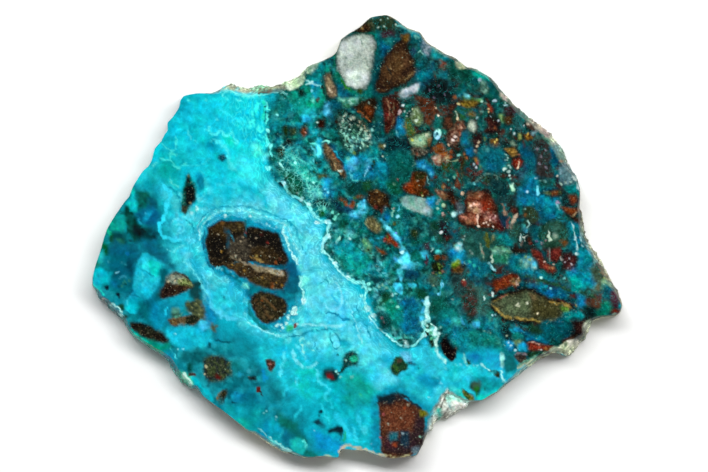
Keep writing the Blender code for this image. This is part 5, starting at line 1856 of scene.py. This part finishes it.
        # Lace in the turquoise, and a finer network in the rock beside it
        drawn = add("ShaderNodeMapping")
        drawn.inputs["Scale"].default_value = (1.0, 0.40, 1.0)
        join(where.outputs["Object"], drawn.inputs["Vector"])
        swirl = add("ShaderNodeTexNoise", Scale=1 / (1.15 * MM), Detail=2.0, Distortion=0.4)
        join(drawn.outputs[0], swirl.inputs["Vector"])
        weave = sum_of("FRACT", sum_of("MULTIPLY", swirl.outputs["Fac"], 5.0), 0.0)
        thread = spread(sum_of("ABSOLUTE", sum_of("SUBTRACT", weave, 0.5), 0.0), 0.0, 0.2, 0.42, 0.0)
        thread = sum_of("MULTIPLY", sum_of("MULTIPLY", thread, clear), sum_of("MAXIMUM", bands_of.outputs[2], 0.0))
        tone_out = blend("MIX", thread, tone_out, (0.05, 0.86, 0.80, 1.0))
        cells = add("ShaderNodeTexVoronoi", feature="DISTANCE_TO_EDGE", Scale=1 / (0.72 * MM))
        bent = add("ShaderNodeVectorMath", operation="MULTIPLY_ADD")
        bend = add("ShaderNodeTexNoise", Scale=1 / (0.8 * MM))
        join(where.outputs["Object"], bend.inputs["Vector"])
        join(bend.outputs["Color"], bent.inputs[0])
        bent.inputs[1].default_value = (0.9 * MM, 0.9 * MM, 0.9 * MM)
        join(where.outputs["Object"], bent.inputs[2])
        join(bent.outputs[0], cells.inputs["Vector"])
        net = spread(cells.outputs["Distance"], 0.01, 0.10, 0.85, 0.0)
        net = sum_of("MULTIPLY", sum_of("MULTIPLY", net, spread(medium, 0.4, 0.6, 0.2, 1.0)), sum_of("MAXIMUM", sum_of("MULTIPLY", bands_of.outputs[2], -1.0), 0.0))
        tone_out = blend("MIX", net, tone_out, (0.14, 0.62, 0.54, 1.0))
    else:
        # Sugary crust, with dark lines between its grains
        grains = add("ShaderNodeTexVoronoi", feature="DISTANCE_TO_EDGE", Scale=1 / (0.55 * MM))
        join(where.outputs["Object"], grains.inputs["Vector"])
        seams = sum_of("MULTIPLY", spread(grains.outputs["Distance"], 0.0, 0.10, 0.6, 0.0), rind)
        tone_out = blend("MIX", seams, tone_out, (0.035, 0.045, 0.035, 1.0))
    join(tone_out, shader.inputs["Base Color"])
    sheen = spread(medium, 0.3, 0.7, gloss_low, gloss_high)
    join(sheen, shader.inputs["Roughness"])
    relief = add("ShaderNodeBump", Distance=grain_depth * MM, Strength=0.6)
    join(fine, relief.inputs["Height"])
    join(relief.outputs["Normal"], shader.inputs["Normal"])
    shader.inputs["Specular IOR Level"].default_value = 0.35
    return material


stone_mesh.materials.append(stone_finish("polished_chrysocolla", 0.06, 0.12, 0.30, 0.004, True))
stone_mesh.materials.append(stone_finish("weathered_rind", 0.6, 0.95, 0.45, 0.25, False))
stone_mesh.materials.append(stone_finish("sawn_back", 0.45, 0.7, 0.35, 0.03, True))

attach(slab, "root")
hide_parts("chrysocolla_slab")


# The table
# A plain pale sheet, large enough to fill the picture.
bpy.ops.object.select_all(action="DESELECT")
bpy.ops.mesh.primitive_plane_add(size=3.0, location=(0, 0, 0))
table = bpy.context.object
table.name = "table"
TABLE_WHITE = (0.86, 0.86, 0.86, 1)
paper = bpy.data.materials.new("pale_table")
paper.use_nodes = True
paper.node_tree.nodes["Principled BSDF"].inputs["Base Color"].default_value = TABLE_WHITE
paper.node_tree.nodes["Principled BSDF"].inputs["Roughness"].default_value = 0.8
paper.node_tree.nodes["Principled BSDF"].inputs["Specular IOR Level"].default_value = 0.1
table.data.materials.append(paper)


# The light
# One large soft lamp, high beyond the far edge of the table, in a dim room that is darkest overhead.
LAMP_ELEVATION = math.radians(73)
LAMP_DISTANCE = 1.6
LAMP_ASIDE = 0.1
lamp = bpy.data.lights.new("softbox", "AREA")
lamp.shape = "RECTANGLE"
lamp.size = 1.3
lamp.size_y = 0.3
lamp.energy = 30
softbox = bpy.data.objects.new("softbox", lamp)
softbox.location = (LAMP_ASIDE, LAMP_DISTANCE * math.cos(LAMP_ELEVATION), LAMP_DISTANCE * math.sin(LAMP_ELEVATION))
softbox.rotation_euler = (-Vector(softbox.location)).to_track_quat("-Z", "Y").to_euler()
bpy.context.scene.collection.objects.link(softbox)

room = bpy.data.worlds.new("room")
bpy.context.scene.world = room
room.use_nodes = True
sky = room.node_tree
direction = sky.nodes.new("ShaderNodeTexCoord")
height = sky.nodes.new("ShaderNodeSeparateXYZ")
dusk = sky.nodes.new("ShaderNodeValToRGB")
dusk.color_ramp.elements[0].position = 0.0
dusk.color_ramp.elements[0].color = (0.8, 0.8, 0.8, 1)
dusk.color_ramp.elements[1].position = 0.85
dusk.color_ramp.elements[1].color = (0.01, 0.01, 0.01, 1)
sky.links.new(direction.outputs["Generated"], height.inputs["Vector"])
sky.links.new(height.outputs["Z"], dusk.inputs["Fac"])
sky.links.new(dusk.outputs["Color"], sky.nodes["Background"].inputs["Color"])
sky.nodes["Background"].inputs["Strength"].default_value = 1.2


# The camera
# It looks straight down on the face, from far enough for the sides to vanish.
FRAME_WIDTH = 118.0 * MM
FRAME_MIDDLE = (354, 236)
LENS = 600
SENSOR = 36
lens = bpy.data.cameras.new("camera")
lens.lens = LENS
lens.sensor_width = SENSOR
lens.clip_start = 0.01
lens.clip_end = 20
camera = bpy.data.objects.new("camera", lens)
camera.location = ((FRAME_MIDDLE[0] - SHEET_LEFT) / SHEET * MM, (SHEET_TOP - FRAME_MIDDLE[1]) / SHEET * MM,
                   THICKNESS + FRAME_WIDTH * LENS / SENSOR)
bpy.context.scene.collection.objects.link(camera)
bpy.context.scene.camera = camera
bpy.context.scene.view_settings.view_transform = "Standard"
